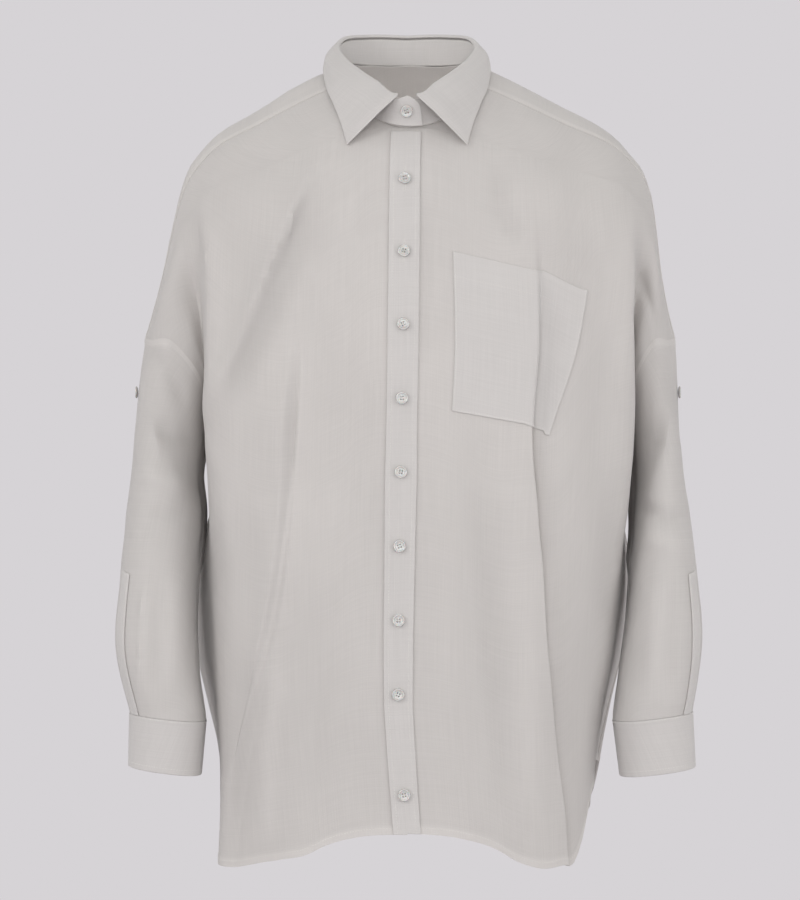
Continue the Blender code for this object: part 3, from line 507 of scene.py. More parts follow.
def collar_curve(turn, part):
    """Points of the collar's fold or edge at turns from the front, on both halves."""
    rows = [getattr(row, part) for row in COLLAR]
    knots = [fold_turn(row.fold) for row in COLLAR]
    if part == "fold":
        rows.append(STAND_TOP)
        knots.append(0.0)
    from_front = np.abs((turn + math.pi) % (2 * math.pi) - math.pi)
    points = along(knots[::-1], rows[::-1], from_front)
    points[:, 0] *= np.where((turn % (2 * math.pi)) < math.pi, 1.0, -1.0)
    points[:, 0] += COLLAR_MIDDLE_X
    return points


def collar_lap(turn):
    """How far the stand's outer end stands off at each turn."""
    start = 2 * math.pi - STAND_LAP - LAP_STARTS
    return (DOUBLED + STAND_LAP_GAP) * smooth((turn - start) / LAP_STEPS)


def outward_of(turn):
    """Level directions away from the neck."""
    return np.stack([np.sin(turn), -np.cos(turn), np.zeros(len(turn))], axis=1)


# ---------------------------------------------------------------- fine grids of the same surfaces
# The spacing of fine rows, columns for each of the solids', fine rows and rings, and extra places by edges
FINE = 0.003
REFINE = 5
LOW_FINE = 128
NECK_FINE = 60
SLEEVE_FINE = 110
EDGE_STEPS = (0.0, 0.0002, 0.0005, 0.0009, 0.0015, 0.0028)


def steps(start, stop):
    return np.linspace(start, stop, max(2, round(abs(stop - start) / FINE)) + 1)


def refined(shares):
    """More columns between those of the solids."""
    at = np.linspace(0, shares.shape[1] - 1, (shares.shape[1] - 1) * REFINE + 1)
    i = np.minimum(at.astype(int), shares.shape[1] - 2)
    return shares[:, i] * (1 - (at - i)) + shares[:, i + 1] * (at - i)


def upper_half(side, ways):
    shares = refined(columns(side, ways))
    return body(side, shares, np.broadcast_to(ways[:, None], shares.shape))


def lower_half(side, face):
    up = np.linspace(0, 1, LOW_FINE + 1)
    shares = refined(columns(side, face * np.linspace(LOWEST_WAY, UNDERARM, LOW_FINE + 1)))
    hem = hem_way(side, shares[0], face)
    return body(side, shares, hem + (face * UNDERARM - hem) * up[:, None])


FINE_NECK_FRONT, FINE_NECK_YOKE = neck_ways(NECK_FINE)
FINE_FRONT = np.concatenate([steps(-UNDERARM, NECK_FRONT)[:-1], FINE_NECK_FRONT])
FINE_YOKE = np.concatenate([FINE_NECK_YOKE, steps(NECK_BACK, YOKE_BACK)[1:]])
FINE_BACK = steps(YOKE_BACK, UNDERARM)
SIDES = {-1: "right", 1: "left"}


def trunk_grids():
    """Fine grids: both fronts and the back from one end to the other, and the yoke in two halves."""
    grids, backs = {}, {}
    for side, name in SIDES.items():
        low_front, low_back = lower_half(side, -1), lower_half(side, 1)
        seam = (low_front[:, -1] + low_back[:, -1]) / 2
        low_front[:, -1] = low_back[:, -1] = seam
        front, yoke, back = (upper_half(side, ways) for ways in (FINE_FRONT, FINE_YOKE, FINE_BACK))
        front[0] = low_front[-1]
        low_back[-1] = back[-1] = (back[-1] + low_back[-1]) / 2
        back[-1, -1] = low_back[-1, -1] = front[0, -1]
        yoke[0] = front[-1]
        back[0] = yoke[-1]
        grids[f"front_{name}"] = np.concatenate([low_front, front[1:]])
        grids[f"yoke_{name}"] = yoke
        backs[side] = np.concatenate([back, low_back[::-1][1:]])
    grids["back"] = np.concatenate([backs[-1][:, :0:-1], backs[1]], axis=1)
    return grids


def sleeve_grid(side, grids):
    """The sleeve's rings, and for each of its columns the column of the solid's rings."""
    name = SIDES[side]
    front, yoke = grids[f"front_{name}"][LOW_FINE:, -1], grids[f"yoke_{name}"][1:, -1]
    back = grids["back"][1 : len(FINE_BACK) - 1, 0 if side < 0 else -1]
    loop = np.concatenate([front, yoke, back])[::2]
    ways = np.concatenate([FINE_FRONT, FINE_YOKE[1:], FINE_BACK[1:-1]])[::2]
    coarse = np.concatenate([FRONT_WAYS, YOKE_WAYS[1:], BACK_WAYS[1:-1], [UNDERARM]])
    column = np.interp(ways, coarse, np.arange(len(coarse)))
    angles = math.pi * (1 + ways / UNDERARM)
    even = column * 2 * math.pi / (len(coarse) - 1)
    rings = []
    for way in np.linspace(0, 1, SLEEVE_FINE + 1):
        turn = angles + (even - angles) * smooth(way / EVEN_WAY)
        sections = [loop] + [sleeve_section(row, side, turn) for row in SLEEVES[side]]
        knots = [0.0] + [row.way for row in SLEEVES[side]]
        rings.append(along(knots, np.array(sections), np.array([way]))[0])
    return np.array(rings), column


# ---------------------------------------------------------------- creases and crumples
# A crease's line seen from one side, and how far and how wide it rises. Where it is a step, the cloth
# right of the way along it stands up and falls off slowly.
Crease = namedtuple("Crease", "view rise wide step path")
STEP_SHARP = 0.7
STEP_LONG = 5.0
VIEWS = {
    "front": (np.array([0, -1.0, 0]), (0, 2)),
    "back": (np.array([0, 1.0, 0]), (0, 2)),
    "right": (np.array([-1.0, 0, 0]), (1, 2)),
    "left": (np.array([1.0, 0, 0]), (1, 2)),
}


def creases_of(**views):
    """Creases from rows in millimetres: rise, width, 1 for a step or 0, and the line's places in turn."""
    found = []
    for side_seen, rows in views.items():
        for rise, wide, step, *line in rows:
            path = np.array(line).reshape(-1, 2) / 1000
            found.append(Crease(side_seen, rise / 1000, wide / 1000, step == 1, path))
    return found


TRUNK_CREASES = creases_of(
    front=(
        (-7.5, 13, 0, -81, -71, -100, -145, -128, -219, -155, -279, -187, -332),
        (-1.4, 12, 0, -64, -90, -77, -140, -104, -205),
        (2, 5, 1, -108, -246, -101, -274, -105, -357, -113, -426, -127, -518, -147, -587, -161, -643),
        (-3.6, 11, 0, -136, -532, -151, -587, -158, -661, -160, -735),
        (3, 9, 0, -115, -532, -128, -606, -132, -680, -133, -737),
        (-1.4, 14, 0, -73, -458, -81, -541, -84, -624, -84, -716),
        (-3.6, 10, 0, 81, -76, 88, -140, 109, -163),
        (-2.8, 16, 0, 51, -311, 65, -449, 79, -587, 84, -726),
        (2.4, 14, 0, 102, -339, 104, -458, 111, -587, 117, -726),
        (-1.8, 6, 0, 14, -104, 14, -200, 13, -302),
        (-1, 5, 0, -14, -114, -34, -123, -55, -128),
        (-1, 5, 0, -14, -140, -33, -151, -49, -162),
        (3.2, 5, 1, -200, -104, -193, -159, -188, -210, -187, -274, -187, -339),
        (3.2, 5, 1, 209, -322, 208, -252, 209, -203, 211, -116),
        (-2.4, 5, 0, 221, -131, 216, -174, 218, -193, 225, -213, 233, -236, 241, -270),
        (1.6, 5, 0, 225, -147, 231, -193, 238, -235),
        (-2.2, 5, 0, -206, -127, -198, -163, -190, -202),
        (-2.2, 8, 0, 131, -182, 132, -256, 130, -311, 132, -357),
        (-2, 14, 0, 174, -219, 176, -329, 178, -458, 174, -587),
        (-1.8, 10, 0, -197, -352, -182, -422, -173, -514),
        (-1.8, 10, 0, 199, -357, 187, -440, 181, -551),
        (1.2, 12, 0, 42, -375, 37, -486, 35, -624),
    ),
    back=(
        (-4, 14, 0, -85, -105, -80, -250, -88, -420, -95, -600),
        (3.5, 13, 0, -60, -120, -52, -280, -56, -460, -50, -700),
        (-4.2, 15, 0, 70, -110, 66, -240, 78, -440, 90, -680),
        (3.2, 14, 0, 105, -140, 98, -300, 110, -500, 118, -690),
        (-2, 18, 0, 5, -130, -2, -300, 10, -520, 6, -710),
        (-3.5, 10, 0, -125, -160, -150, -260, -178, -335),
        (-3.5, 10, 0, 130, -160, 158, -250, 190, -335),
        (2.6, 12, 0, -140, -360, -136, -500, -146, -660),
    ),
)
ARM_CREASES = creases_of(
    front=(
        (2.2, 4, 1, -248, -473, -249, -506, -250, -549, -255, -599),
        (0.7, 6, 0, -262, -437, -254, -436, -247, -438),
        (-2, 8, 0, -254, -259, -227, -284, -206, -327),
        (-2.2, 8, 0, -241, -334, -221, -344, -195, -348),
        (2, 9, 0, -254, -368, -232, -385, -199, -391),
        (-1.4, 9, 0, -251, -408, -227, -418, -202, -415),
        (1.4, 9, 0, -217, -459, -215, -515, -219, -590),
        (-1.6, 8, 0, -232, -459, -234, -525, -236, -590),
        (-1.8, 8, 0, 229, -259, 243, -292, 254, -337),
        (-1.4, 8, 0, 213, -334, 233, -348, 259, -344),
        (-3.4, 8, 0, 211, -404, 235, -418, 263, -422),
        (2.6, 9, 0, 215, -433, 238, -444, 263, -448),
        (1.6, 9, 0, 229, -473, 226, -525, 224, -590),
        (-1.6, 8, 0, 245, -469, 244, -525, 241, -590),
    ),
    right=(
        (-2.8, 10, 0, -20, -340, -30, -410, -55, -460),
        (2.6, 9, 0, 20, -380, -5, -440, -40, -475),
        (-2.2, 10, 0, -60, -470, -50, -530, -70, -590),
    ),
    left=(
        (-2.6, 10, 0, -30, -350, -35, -420, -60, -470),
        (2.6, 9, 0, 25, -370, 0, -430, -35, -480),
        (-2.2, 9, 0, -45, -480, -55, -540, -75, -590),
    ),
    back=(
        (-2.6, 10, 0, -250, -330, -235, -400, -215, -460),
        (2.4, 9, 0, -262, -420, -236, -475, -208, -500),
        (-2.6, 10, 0, 245, -330, 232, -410, 218, -470),
        (2.4, 9, 0, 262, -430, 240, -480, 210, -505),
    ),
)
PATH_STEPS = 24
CREASE_ENDS = 0.3
CREASE_REACH = 3
# A crease ends softly on cloth that turns away from the side it is seen from
TURNED_AWAY = 0.1
TURNED_SOFT = 0.5


def crease_lift(crease, points, normals):
    """How far one crease moves each point out of the cloth."""
    facing, seen = VIEWS[crease.view]
    last = len(crease.path) - 1
    path = along(np.arange(last + 1), crease.path, np.linspace(0, last, PATH_STEPS + 1))
    spots = points[:, seen]
    reach = (STEP_LONG if crease.step else CREASE_REACH) * crease.wide
    near = np.all((spots > path.min(0) - reach) & (spots < path.max(0) + reach), axis=1)
    near &= normals @ facing > -TURNED_AWAY
    spots, found = spots[near], np.zeros(len(points))
    best, at, across = np.full(len(spots), np.inf), np.zeros(len(spots)), np.zeros(len(spots))
    for i, (start, end) in enumerate(zip(path[:-1], path[1:])):
        line, off = end - start, spots - start
        t = np.clip(off @ line / (line @ line), 0, 1)
        far = np.linalg.norm(off - t[:, None] * line, axis=1)
        closer = far < best
        best, at = np.where(closer, far, best), np.where(closer, (i + t) / PATH_STEPS, at)
        aside = (line[0] * off[:, 1] - line[1] * off[:, 0]) / np.linalg.norm(line)
        across = np.where(closer, aside, across)
    ends = smooth(at / CREASE_ENDS) * smooth((1 - at) / CREASE_ENDS)
    turned = smooth((normals[near] @ facing + TURNED_AWAY) / TURNED_SOFT)
    form = np.exp(-((best / crease.wide) ** 2))
    if crease.step:
        edge = smooth(0.5 + across / (STEP_SHARP * crease.wide))
        form = edge * (1 - smooth(across / (STEP_LONG * crease.wide)))
    found[near] = crease.rise * ends * turned * form
    return found


# Soft uneven waves: their scale along each axis, a shift, their height, and whether they are ridges
Crumple = namedtuple("Crumple", "scale shift rise ridged")
CRUMPLES = (
    Crumple((15, 15, 6), 3.1, 0.0016, False),
    Crumple((34, 34, 17), 7.7, 0.0006, False),
    Crumple((24, 24, 13), 12.3, 0.0012, True),
)
RIDGE_LEVEL = 0.25


def detail(points, normals, creases):
    """How far the crumples and creases move each point. Pieces at the same place move together."""
    total = np.zeros(len(points))
    for wave in CRUMPLES:
        at = points * np.array(wave.scale) + wave.shift
        value = np.array([noise.noise(Vector(p)) for p in at])
        total += wave.rise * (RIDGE_LEVEL - np.abs(value) if wave.ridged else value)
    for crease in creases:
        total += crease_lift(crease, points, normals)
    return total


# ---------------------------------------------------------------- meshes
# Points count as the same place when they agree to a micrometre
SAME_PLACE = 1e6
# Edges sharper than these angles, in degrees, stay sharp
CLOTH_SHADE = 40
THREAD_SHADE = 80
Surface = namedtuple("Surface", "grid normals")


def runs(grid, axis):
    """Lengths along the grid's rows or columns, from their first point."""
    step = np.linalg.norm(np.diff(grid, axis=axis), axis=2)
    total = np.cumsum(step, axis=axis)
    return np.concatenate([np.zeros_like(np.take(total, [0], axis=axis)), total], axis=axis)


def cloth_places(grid):
    """The cloth's own coordinates of a grid's points, as a flat list."""
    return np.stack([runs(grid, 1), runs(grid, 0)], axis=-1).reshape(-1, 2)


def between(at, knots, values):
    """Straight lines through points at the knots."""
    return np.stack([np.interp(at, knots, values[:, i]) for i in range(3)], axis=1)


def grid_quads(rows, cols, flip, closed=False):
    index = np.arange(rows * cols).reshape(rows, cols)
    if closed:
        index = np.concatenate([index, index[:, :1]], axis=1)
    corners = [index[:-1, :-1], index[:-1, 1:], index[1:, 1:], index[1:, :-1]]
    cells = np.stack(corners, axis=-1).reshape(-1, 4)
    return cells[:, ::-1] if flip else cells


def point_normals(points, cells):
    corners = points[cells]
    across = np.cross(corners[:, 2] - corners[:, 0], corners[:, 3] - corners[:, 1])
    total = np.zeros_like(points)
    for i in range(4):
        np.add.at(total, cells[:, i], across)
    return unit(total)


def seamless(parts):
    """The points and cells of several grids, with the points of their common seams as one.

    Also where each of them first comes, and which of them each point of the grids is.
    """
    points = np.concatenate([p[0] for p in parts])
    keys = np.round(points * SAME_PLACE).astype(int)
    _, first, index = np.unique(keys, axis=0, return_index=True, return_inverse=True)
    index = index.reshape(-1)
    joined, start = [], 0
    for p in parts:
        joined.append(index[p[1] + start])
        start += len(p[0])
    return points[first], np.concatenate(joined), first, index


def merged_normals(parts):
    """Normals of several grids whose seam points count as one. parts are (points, cells)."""
    points, joined, _, index = seamless(parts)
    ends = np.cumsum([len(p) for p, _ in parts])[:-1]
    return np.split(point_normals(points, joined)[index], ends)


def weld(parts):
    """Flat lists of several grids as one, with the points of their common seams as one."""
    points, joined, first, _ = seamless(parts)
    others = [np.concatenate([p[k] for p in parts])[first] for k in (2, 3, 4, 5)]
    return [points, joined] + others


def placed(name, data):
    """A new object in the scene."""
    obj = bpy.data.objects.new(name, data)
    bpy.context.scene.collection.objects.link(obj)
    return obj


def add_piece(name, points, cells, material, shade=CLOTH_SHADE, tone=None, cloth=None):
    """A mesh object with smooth shading, the cloth's own coordinates as UVs, and a tone at each point."""
    mesh = bpy.data.meshes.new(name)
    mesh.from_pydata(points.tolist(), [], [list(map(int, c)) for c in cells])
    if tone is not None:
        values = mesh.attributes.new("tone", "FLOAT", "POINT").data
        values.foreach_set("value", tone.astype(np.float32))
    if cloth is not None:
        uvs = mesh.uv_layers.new(name="cloth")
        loops = np.empty(len(mesh.loops), dtype=np.int32)
        mesh.loops.foreach_get("vertex_index", loops)
        uvs.data.foreach_set("uv", cloth[loops].astype(np.float32).ravel())
    mesh.materials.append(material)
    mesh.shade_smooth()
    mesh.set_sharp_from_angle(angle=math.radians(shade))
    return placed(name, mesh)


def shell(name, points, cells, normals, lift, tone, cloth, thick, material, rounded=1.0):
    """A thin closed shell with its outer face lift out from the points. rounded narrows it near its edges."""
    middle = points + normals * (lift - thick / 2).reshape(-1, 1)
    half = normals * np.asarray(thick * rounded / 2).reshape(-1, 1)
    count = len(points)
    pairs = np.concatenate([np.stack([cells[:, i], cells[:, (i + 1) % 4]], axis=1) for i in range(4)])
    code = pairs[:, 0] * count + pairs[:, 1]
    back = pairs[:, 1] * count + pairs[:, 0]
    rim = pairs[~np.isin(code, back)]
    rim_cells = np.stack([rim[:, 0], rim[:, 1], rim[:, 1] + count, rim[:, 0] + count], axis=1)
    return add_piece(
        name, np.concatenate([middle - half, middle + half]),
        np.concatenate([cells + count, cells[:, ::-1], rim_cells]), material,
        tone=np.concatenate([tone, tone]), cloth=np.concatenate([cloth, cloth]),
    )


def surface_at(surface, row, column):
    """Points and normals of a grid at places counted in rows and columns."""
    rows, cols = surface.grid.shape[:2]
    row, column = np.asarray(row, float), np.asarray(column, float)
    i = np.clip(np.floor(row).astype(int), 0, rows - 2)
    j = np.clip(np.floor(column).astype(int), 0, cols - 2)
    s, t = (row - i)[..., None], (column - j)[..., None]
    found = []
    for values in surface:
        near = values[i, j] * (1 - t) + values[i, j + 1] * t
        far = values[i + 1, j] * (1 - t) + values[i + 1, j + 1] * t
        found.append(near * (1 - s) + far * s)
    return found[0], unit(found[1])


def inset_line(surface, edge, distance, span=(0.0, 1.0)):
    """A line at a distance in from an edge of a grid: its points and normals."""
    by_rows, backward = edge in ("start", "end"), edge in ("end", "right")
    lengths = runs(surface.grid, 0) if by_rows else runs(surface.grid, 1).T
    if backward:
        lengths = lengths[-1] - lengths
    last = lengths.shape[1] - 1
    at = np.arange(round(span[0] * last), round(span[1] * last) + 1)
    order = slice(None, None, -1 if backward else 1)
    index = np.arange(len(lengths))[order]
    place = np.array([np.interp(distance, lengths[order, j], index) for j in at])
    return surface_at(surface, *((place, at) if by_rows else (at, place)))


# Stitches: their pitch, length and width, and how flat they are and how much of their height they rise
STITCH = 0.0026
STITCH_LONG = 0.0019
STITCH_WIDE = 0.00026
STITCH_FLAT = 0.8
STITCH_HIGH = 0.3
# The rings of a stitch: share of its length, width and height
STITCH_RINGS = ((-0.5, 0.15, -0.3), (-0.3, 0.8, 0.75), (0.3, 0.8, 0.75), (0.5, 0.15, -0.3))
STITCH_CELLS = np.concatenate([grid_quads(4, 4, False, closed=True), [(3, 2, 1, 0), (12, 13, 14, 15)]])


class Thread:
    """Collects the stitches of one piece."""

    def __init__(self):
        self.points, self.cells, self.count = [], [], 0

    def row(self, line, pitch=STITCH, long=STITCH_LONG):
        places, normals = line
        far = np.concatenate([[0], np.cumsum(np.linalg.norm(np.diff(places, axis=0), axis=1))])
        if far[-1] < 2 * pitch:
            return
        at = np.arange(pitch / 2, far[-1] - pitch / 2, pitch)
        spots = between(at, far, places)
        ahead = unit(between(at + pitch / 4, far, places) - spots)
        up = unit(between(at, far, normals))
        side = unit(np.cross(up, ahead))
        rings = []
        for share, wide, high in STITCH_RINGS:
            centre = spots + ahead * share * long
            for turn in range(4):
                angle = math.pi / 2 * turn
                rise = math.sin(angle) * wide * STITCH_FLAT + high * STITCH_HIGH
                out = side * math.cos(angle) * wide + up * rise
                rings.append(centre + out * STITCH_WIDE)
        base = (np.arange(len(spots)) * len(rings))[:, None, None]
        self.cells.append((STITCH_CELLS[None] + base).reshape(-1, 4) + self.count)
        self.points.append(np.stack(rings, axis=1).reshape(-1, 3))
        self.count += len(spots) * len(rings)

    def inset(self, surface, *edges):
        """Rows at distances in from edges of a surface."""
        for edge, distance in edges:
            self.row(inset_line(surface, edge, distance))

    def make(self, name):
        points, cells_of = np.concatenate(self.points), np.concatenate(self.cells)
        obj = add_piece(name, points, cells_of, THREAD, shade=THREAD_SHADE)
        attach(obj, "root")


# ---------------------------------------------------------------- materials
LIGHT_THROUGH = 0.25
COTTON = {"Roughness": 0.6, "Sheen Weight": 0.3}
WOVEN = {
    "Roughness": 0.86, "Sheen Weight": 0.25, "Sheen Roughness": 0.45, "Specular IOR Level": 0.25,
}
SHINY = {
    "Roughness": 0.14, "Coat Weight": 0.8, "Coat Roughness": 0.08, "Subsurface Weight": 0.2,
    "Subsurface Scale": 0.002,
}
# Threads' noise, stretched along warp and weft, and clouds' noise: scales, and how much they change the tone
WARP, WEFT = (900, 14, 1), (14, 900, 1)
CLOUD_SCALE = 16.0
THREAD_TONE, CLOUD_TONE = 0.10, 0.05
# The weave's bands, their share of its height, and how it shows
BANDS = {"Scale": 440.0, "Distortion": 1.5, "Detail": 1.0, "Detail Scale": 0.4}
BAND_HEIGHT = 0.35
WEAVE_BUMP = {"Strength": 0.5, "Distance": 0.00025}


def set_inputs(tree, node, inputs):
    """Gives a node's inputs their values, or links them to other nodes' outputs."""
    for name, value in inputs.items():
        if isinstance(value, bpy.types.NodeSocket):
            tree.links.new(value, node.inputs[name])
        else:
            node.inputs[name].default_value = value


def linked(tree, kind, inputs=None, **values):
    """A new shader node with its settings and inputs."""
    node = tree.nodes.new(f"ShaderNode{kind}")
    for name, value in values.items():
        setattr(node, name, value)
    set_inputs(tree, node, inputs or {})
    return node


def math_node(tree, operation, a, b):
    return linked(tree, "Math", {0: a, 1: b}, operation=operation).outputs[0]


def noise_at(tree, vector, scale, level, stretch=(1, 1, 1)):
    spread = linked(tree, "Mapping", {"Scale": stretch, "Vector": vector}).outputs[0]
    inputs = {"Scale": scale, "Detail": level, "Vector": spread}
    return linked(tree, "TexNoise", inputs).outputs["Fac"]


def new_material(name, inputs=None):
    """A material, its node tree and its main shader."""
    material = bpy.data.materials.new(name)
    material.use_nodes = True
    tree = material.node_tree
    shader = tree.nodes["Principled BSDF"]
    set_inputs(tree, shader, inputs or {})
    return material, tree, shader


def show(tree, shader):
    tree.links.new(shader.outputs[0], tree.nodes["Material Output"].inputs["Surface"])


def place_in(tree):
    return linked(tree, "TexCoord").outputs["Object"]


def mixed(tree, factor, one, other):
    return linked(tree, "MixShader", {0: factor, 1: one.outputs[0], 2: other.outputs[0]})


def linen_material(name, colour):
    """Plain-woven linen: threads with slubs both ways, uneven tone and a soft sheen."""
    material, tree, shader = new_material(name, WOVEN)
    cloth = linked(tree, "UVMap", uv_map="cloth").outputs[0]
    place = place_in(tree)
    # The tone attribute holds the doubled cloth's paleness and the painted shade of creases and painted
    # highlight of ridges
    tone = linked(tree, "Attribute", attribute_name="tone").outputs["Fac"]
    warp, weft = (noise_at(tree, cloth, scale=1.0, level=2.0, stretch=s) for s in (WARP, WEFT))
    cloud = noise_at(tree, place, scale=CLOUD_SCALE, level=3.0)
    threads = math_node(tree, "ADD", warp, weft)
    lighter = math_node(tree, "MULTIPLY", math_node(tree, "SUBTRACT", threads, 1.0), THREAD_TONE)
    cloudy = math_node(tree, "MULTIPLY", math_node(tree, "SUBTRACT", cloud, 0.5), CLOUD_TONE)
    uneven = math_node(tree, "ADD", math_node(tree, "ADD", lighter, cloudy), 1.0)
    level = math_node(tree, "MULTIPLY", tone, uneven)
    inputs = {"Factor": 1.0, "A": (*colour, 1), "B": level}
    mix = linked(tree, "Mix", inputs, data_type="RGBA", blend_type="MULTIPLY").outputs["Result"]
    weave = []
    for direction in ("X", "Y"):
        inputs = {**BANDS, "Vector": cloth}
        wave = linked(tree, "TexWave", inputs, wave_type="BANDS", bands_direction=direction)
        weave.append(wave.outputs["Fac"])
    bands = math_node(tree, "MULTIPLY", math_node(tree, "ADD", *weave), BAND_HEIGHT)
    bump = linked(tree, "Bump", {**WEAVE_BUMP, "Height": math_node(tree, "ADD", bands, threads)})
    set_inputs(tree, shader, {"Base Color": mix, "Normal": bump.outputs[0]})
    show(tree, mixed(tree, LIGHT_THROUGH, shader, linked(tree, "BsdfTranslucent", {"Color": mix})))
    return material


def clouded_material(name, inputs, dark, pale, **clouds):
    """A material whose colour drifts between two."""
    material, tree, shader = new_material(name, inputs)
    factor = noise_at(tree, place_in(tree), **clouds)
    mix = linked(tree, "Mix", {"A": (*dark, 1), "B": (*pale, 1), "Factor": factor}, data_type="RGBA")
    set_inputs(tree, shader, {"Base Color": mix.outputs["Result"]})
    return material


LINEN_SINGLE = linen_material("linen_cloth", (0.60, 0.574, 0.555))
LINEN_DOUBLE = linen_material("linen_doubled", (0.635, 0.611, 0.595))
THREAD = clouded_material(
    "thread", COTTON, dark=(0.60, 0.58, 0.55), pale=(0.72, 0.70, 0.67), scale=900.0, level=1.0
)
PEARL = clouded_material(
    "pearl", SHINY, dark=(0.33, 0.325, 0.31), pale=(0.58, 0.57, 0.55), scale=160.0, level=3.0,
    stretch=(1, 1, 2.5),
)


# ---------------------------------------------------------------- the trunk and the sleeves
# The single cloth's thickness, and how far, how softly and how wide seams and hems rise
THIN = 0.0009
SEAM_RISE = 0.00045
SEAM_SOFT = 0.0012
HEM_WIDE = 0.0065
FELL_WIDE = 0.0060
# Creases fade out over this distance from a seam
EDGE_FADE = 0.010
# Doubled cloth is paler: how much at the seams and in the yoke
SEAM_TONE = 0.08
YOKE_TONE = 0.02
# Painted shade and highlight: a crease is painted a little darker and a ridge a little paler, by this change
# of tone for each metre of height, within its limits
CREASE_SHADE = 14
SHADE_LIMITS = (-0.09, 0.03)


def fading(*distances):
    """0 at edges and 1 away from them, by the distances from each."""
    return math.prod(smooth(distance / EDGE_FADE) for distance in distances)


def seam_bands(wide, *distances):
    """How far bands of doubled cloth rise, by the distances from the edges they lie along."""
    return SEAM_RISE * (1 - smooth((np.minimum.reduce(distances) - wide) / SEAM_SOFT))


def sheet_on(obj, node):
    """Attaches a sheet of cloth to the root and hides the solid of the node it stands for."""
    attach(obj, "root")
    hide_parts(node)


grids = trunk_grids()
sleeve_columns = {}
for side, name in SIDES.items():
    grids[f"sleeve_{name}"], sleeve_columns[side] = sleeve_grid(side, grids)
FLIPS = {
    "front_right": True, "front_left": False, "yoke_right": True, "yoke_left": False, "back": False,
    "sleeve_right": False, "sleeve_left": True,
}
names = list(FLIPS)
cells = {n: grid_quads(*grids[n].shape[:2], FLIPS[n], "sleeve" in n) for n in names}
flat_normals = merged_normals([(grids[n].reshape(-1, 3), cells[n]) for n in names])
normal_grids = {n: v.reshape(grids[n].shape) for n, v in zip(names, flat_normals)}

# Of each grid: its points, cells, normals, lifts, tones and cloth coordinates as flat lists, and its
# creased outer face for what lies on it
panels, outer = {}, {}
for n in names:
    grid, normals = grids[n], normal_grids[n]
    down, across = runs(grid, 0), runs(grid, 1)
    start, end, left, right = down, down[-1] - down, across, across[:, -1:] - across
    if "sleeve" in n:
        calm, band = fading(start, end), seam_bands(FELL_WIDE, start, left)
    elif n == "back":
        low = np.arange(len(grid))[:, None] > len(FINE_BACK) - 1
        calm = fading(start, left, right)
        band = np.maximum(seam_bands(HEM_WIDE, end), seam_bands(FELL_WIDE, left, right) * low)
    elif "front" in n:
        calm, band = fading(end, right), seam_bands(HEM_WIDE, start)
    else:
        calm, band = fading(start, end, right), seam_bands(FELL_WIDE, start, end)
    flat = grid.reshape(-1, 3), cells[n], normals.reshape(-1, 3)
    creases = ARM_CREASES if "sleeve" in n else TRUNK_CREASES
    waves = detail(flat[0], flat[2], creases).reshape(calm.shape) * calm
    # Painted shade and highlight: the tone is darker in creases and paler on ridges, by their height, besides
    # the doubled cloth's paleness
    shade = np.clip(waves * CREASE_SHADE, *SHADE_LIMITS)
    tone = (1 + SEAM_TONE * band / SEAM_RISE + (YOKE_TONE if "yoke" in n else 0)) * (1 + shade)
    lift = waves + band
    panels[n] = (*flat, lift.ravel(), tone.ravel(), cloth_places(grid))
    face = grid + normals * lift[..., None]
    outer[n] = Surface(face, point_normals(face.reshape(-1, 3), cells[n]).reshape(face.shape))

# The cut of each sheet before it was sewn: width and length, and the flat area
CUTS = {
    "front_right": ((0.34, 0.78), 0.205), "front_left": ((0.35, 0.78), 0.228),
    "back": ((0.60, 0.73), 0.340), "sleeve_right": ((0.42, 0.36), 0.106),
    "sleeve_left": ((0.42, 0.36), 0.103), "yoke": ((0.58, 0.18), 0.085),
}
for n, (flat, area) in CUTS.items():
    parts = [panels["yoke_right"], panels["yoke_left"]] if n == "yoke" else [panels[n]]
    obj = shell(f"{n}_cloth", *weld(parts), THIN, LINEN_SINGLE)
    sheet_on(obj, n)


# ---------------------------------------------------------------- layers of cloth lying on a surface
# A rounded edge is this share of the thickness at its end
ROUND_END = 0.16
# Extra places by an edge lie within this share of the spacing
EDGE_SHARE = 0.8


def edge_places(count, spacing):
    """Places along a grid's points, closer at both ends, and their distances from the nearest end."""
    near = np.array([step / spacing for step in EDGE_STEPS if step < EDGE_SHARE * spacing])
    places = np.concatenate([near, np.arange(1, count - 1), (count - 1) - near[::-1]])
    return places, np.minimum(places, count - 1 - places) * spacing


def spacing_of(grid, axis):
    return float(np.linalg.norm(np.diff(grid, axis=axis), axis=2).mean())


def layer(node, surface, flip, thick, lift):
    """Doubled cloth with rounded edges, whose inner face lies lift above a surface."""
    rows, down = edge_places(surface.grid.shape[0], spacing_of(surface.grid, 0))
    columns_at, across = edge_places(surface.grid.shape[1], spacing_of(surface.grid, 1))
    points, sides = surface_at(surface, *np.meshgrid(rows, columns_at, indexing="ij"))
    far = np.minimum(down[:, None], across[None, :])
    inward = np.clip(1 - 2 * far / thick, 0, 1)
    rounded = np.sqrt(np.maximum(1 - inward**2, ROUND_END**2)).ravel()
    lifts, tone = np.full(far.size, lift + thick), np.ones(far.size)
    obj = shell(
        f"{node}_cloth", points.reshape(-1, 3), grid_quads(*far.shape, flip), sides.reshape(-1, 3),
        lifts, tone, cloth_places(points), thick, LINEN_DOUBLE, rounded,
    )
    sheet_on(obj, node)


def raised(surface, lift):
    """The surface that lies lift above another."""
    return Surface(surface.grid + surface.normals * lift, surface.normals)


def part_of(surface, rows, columns_of=slice(None)):
    return Surface(surface.grid[rows, columns_of], surface.normals[rows, columns_of])


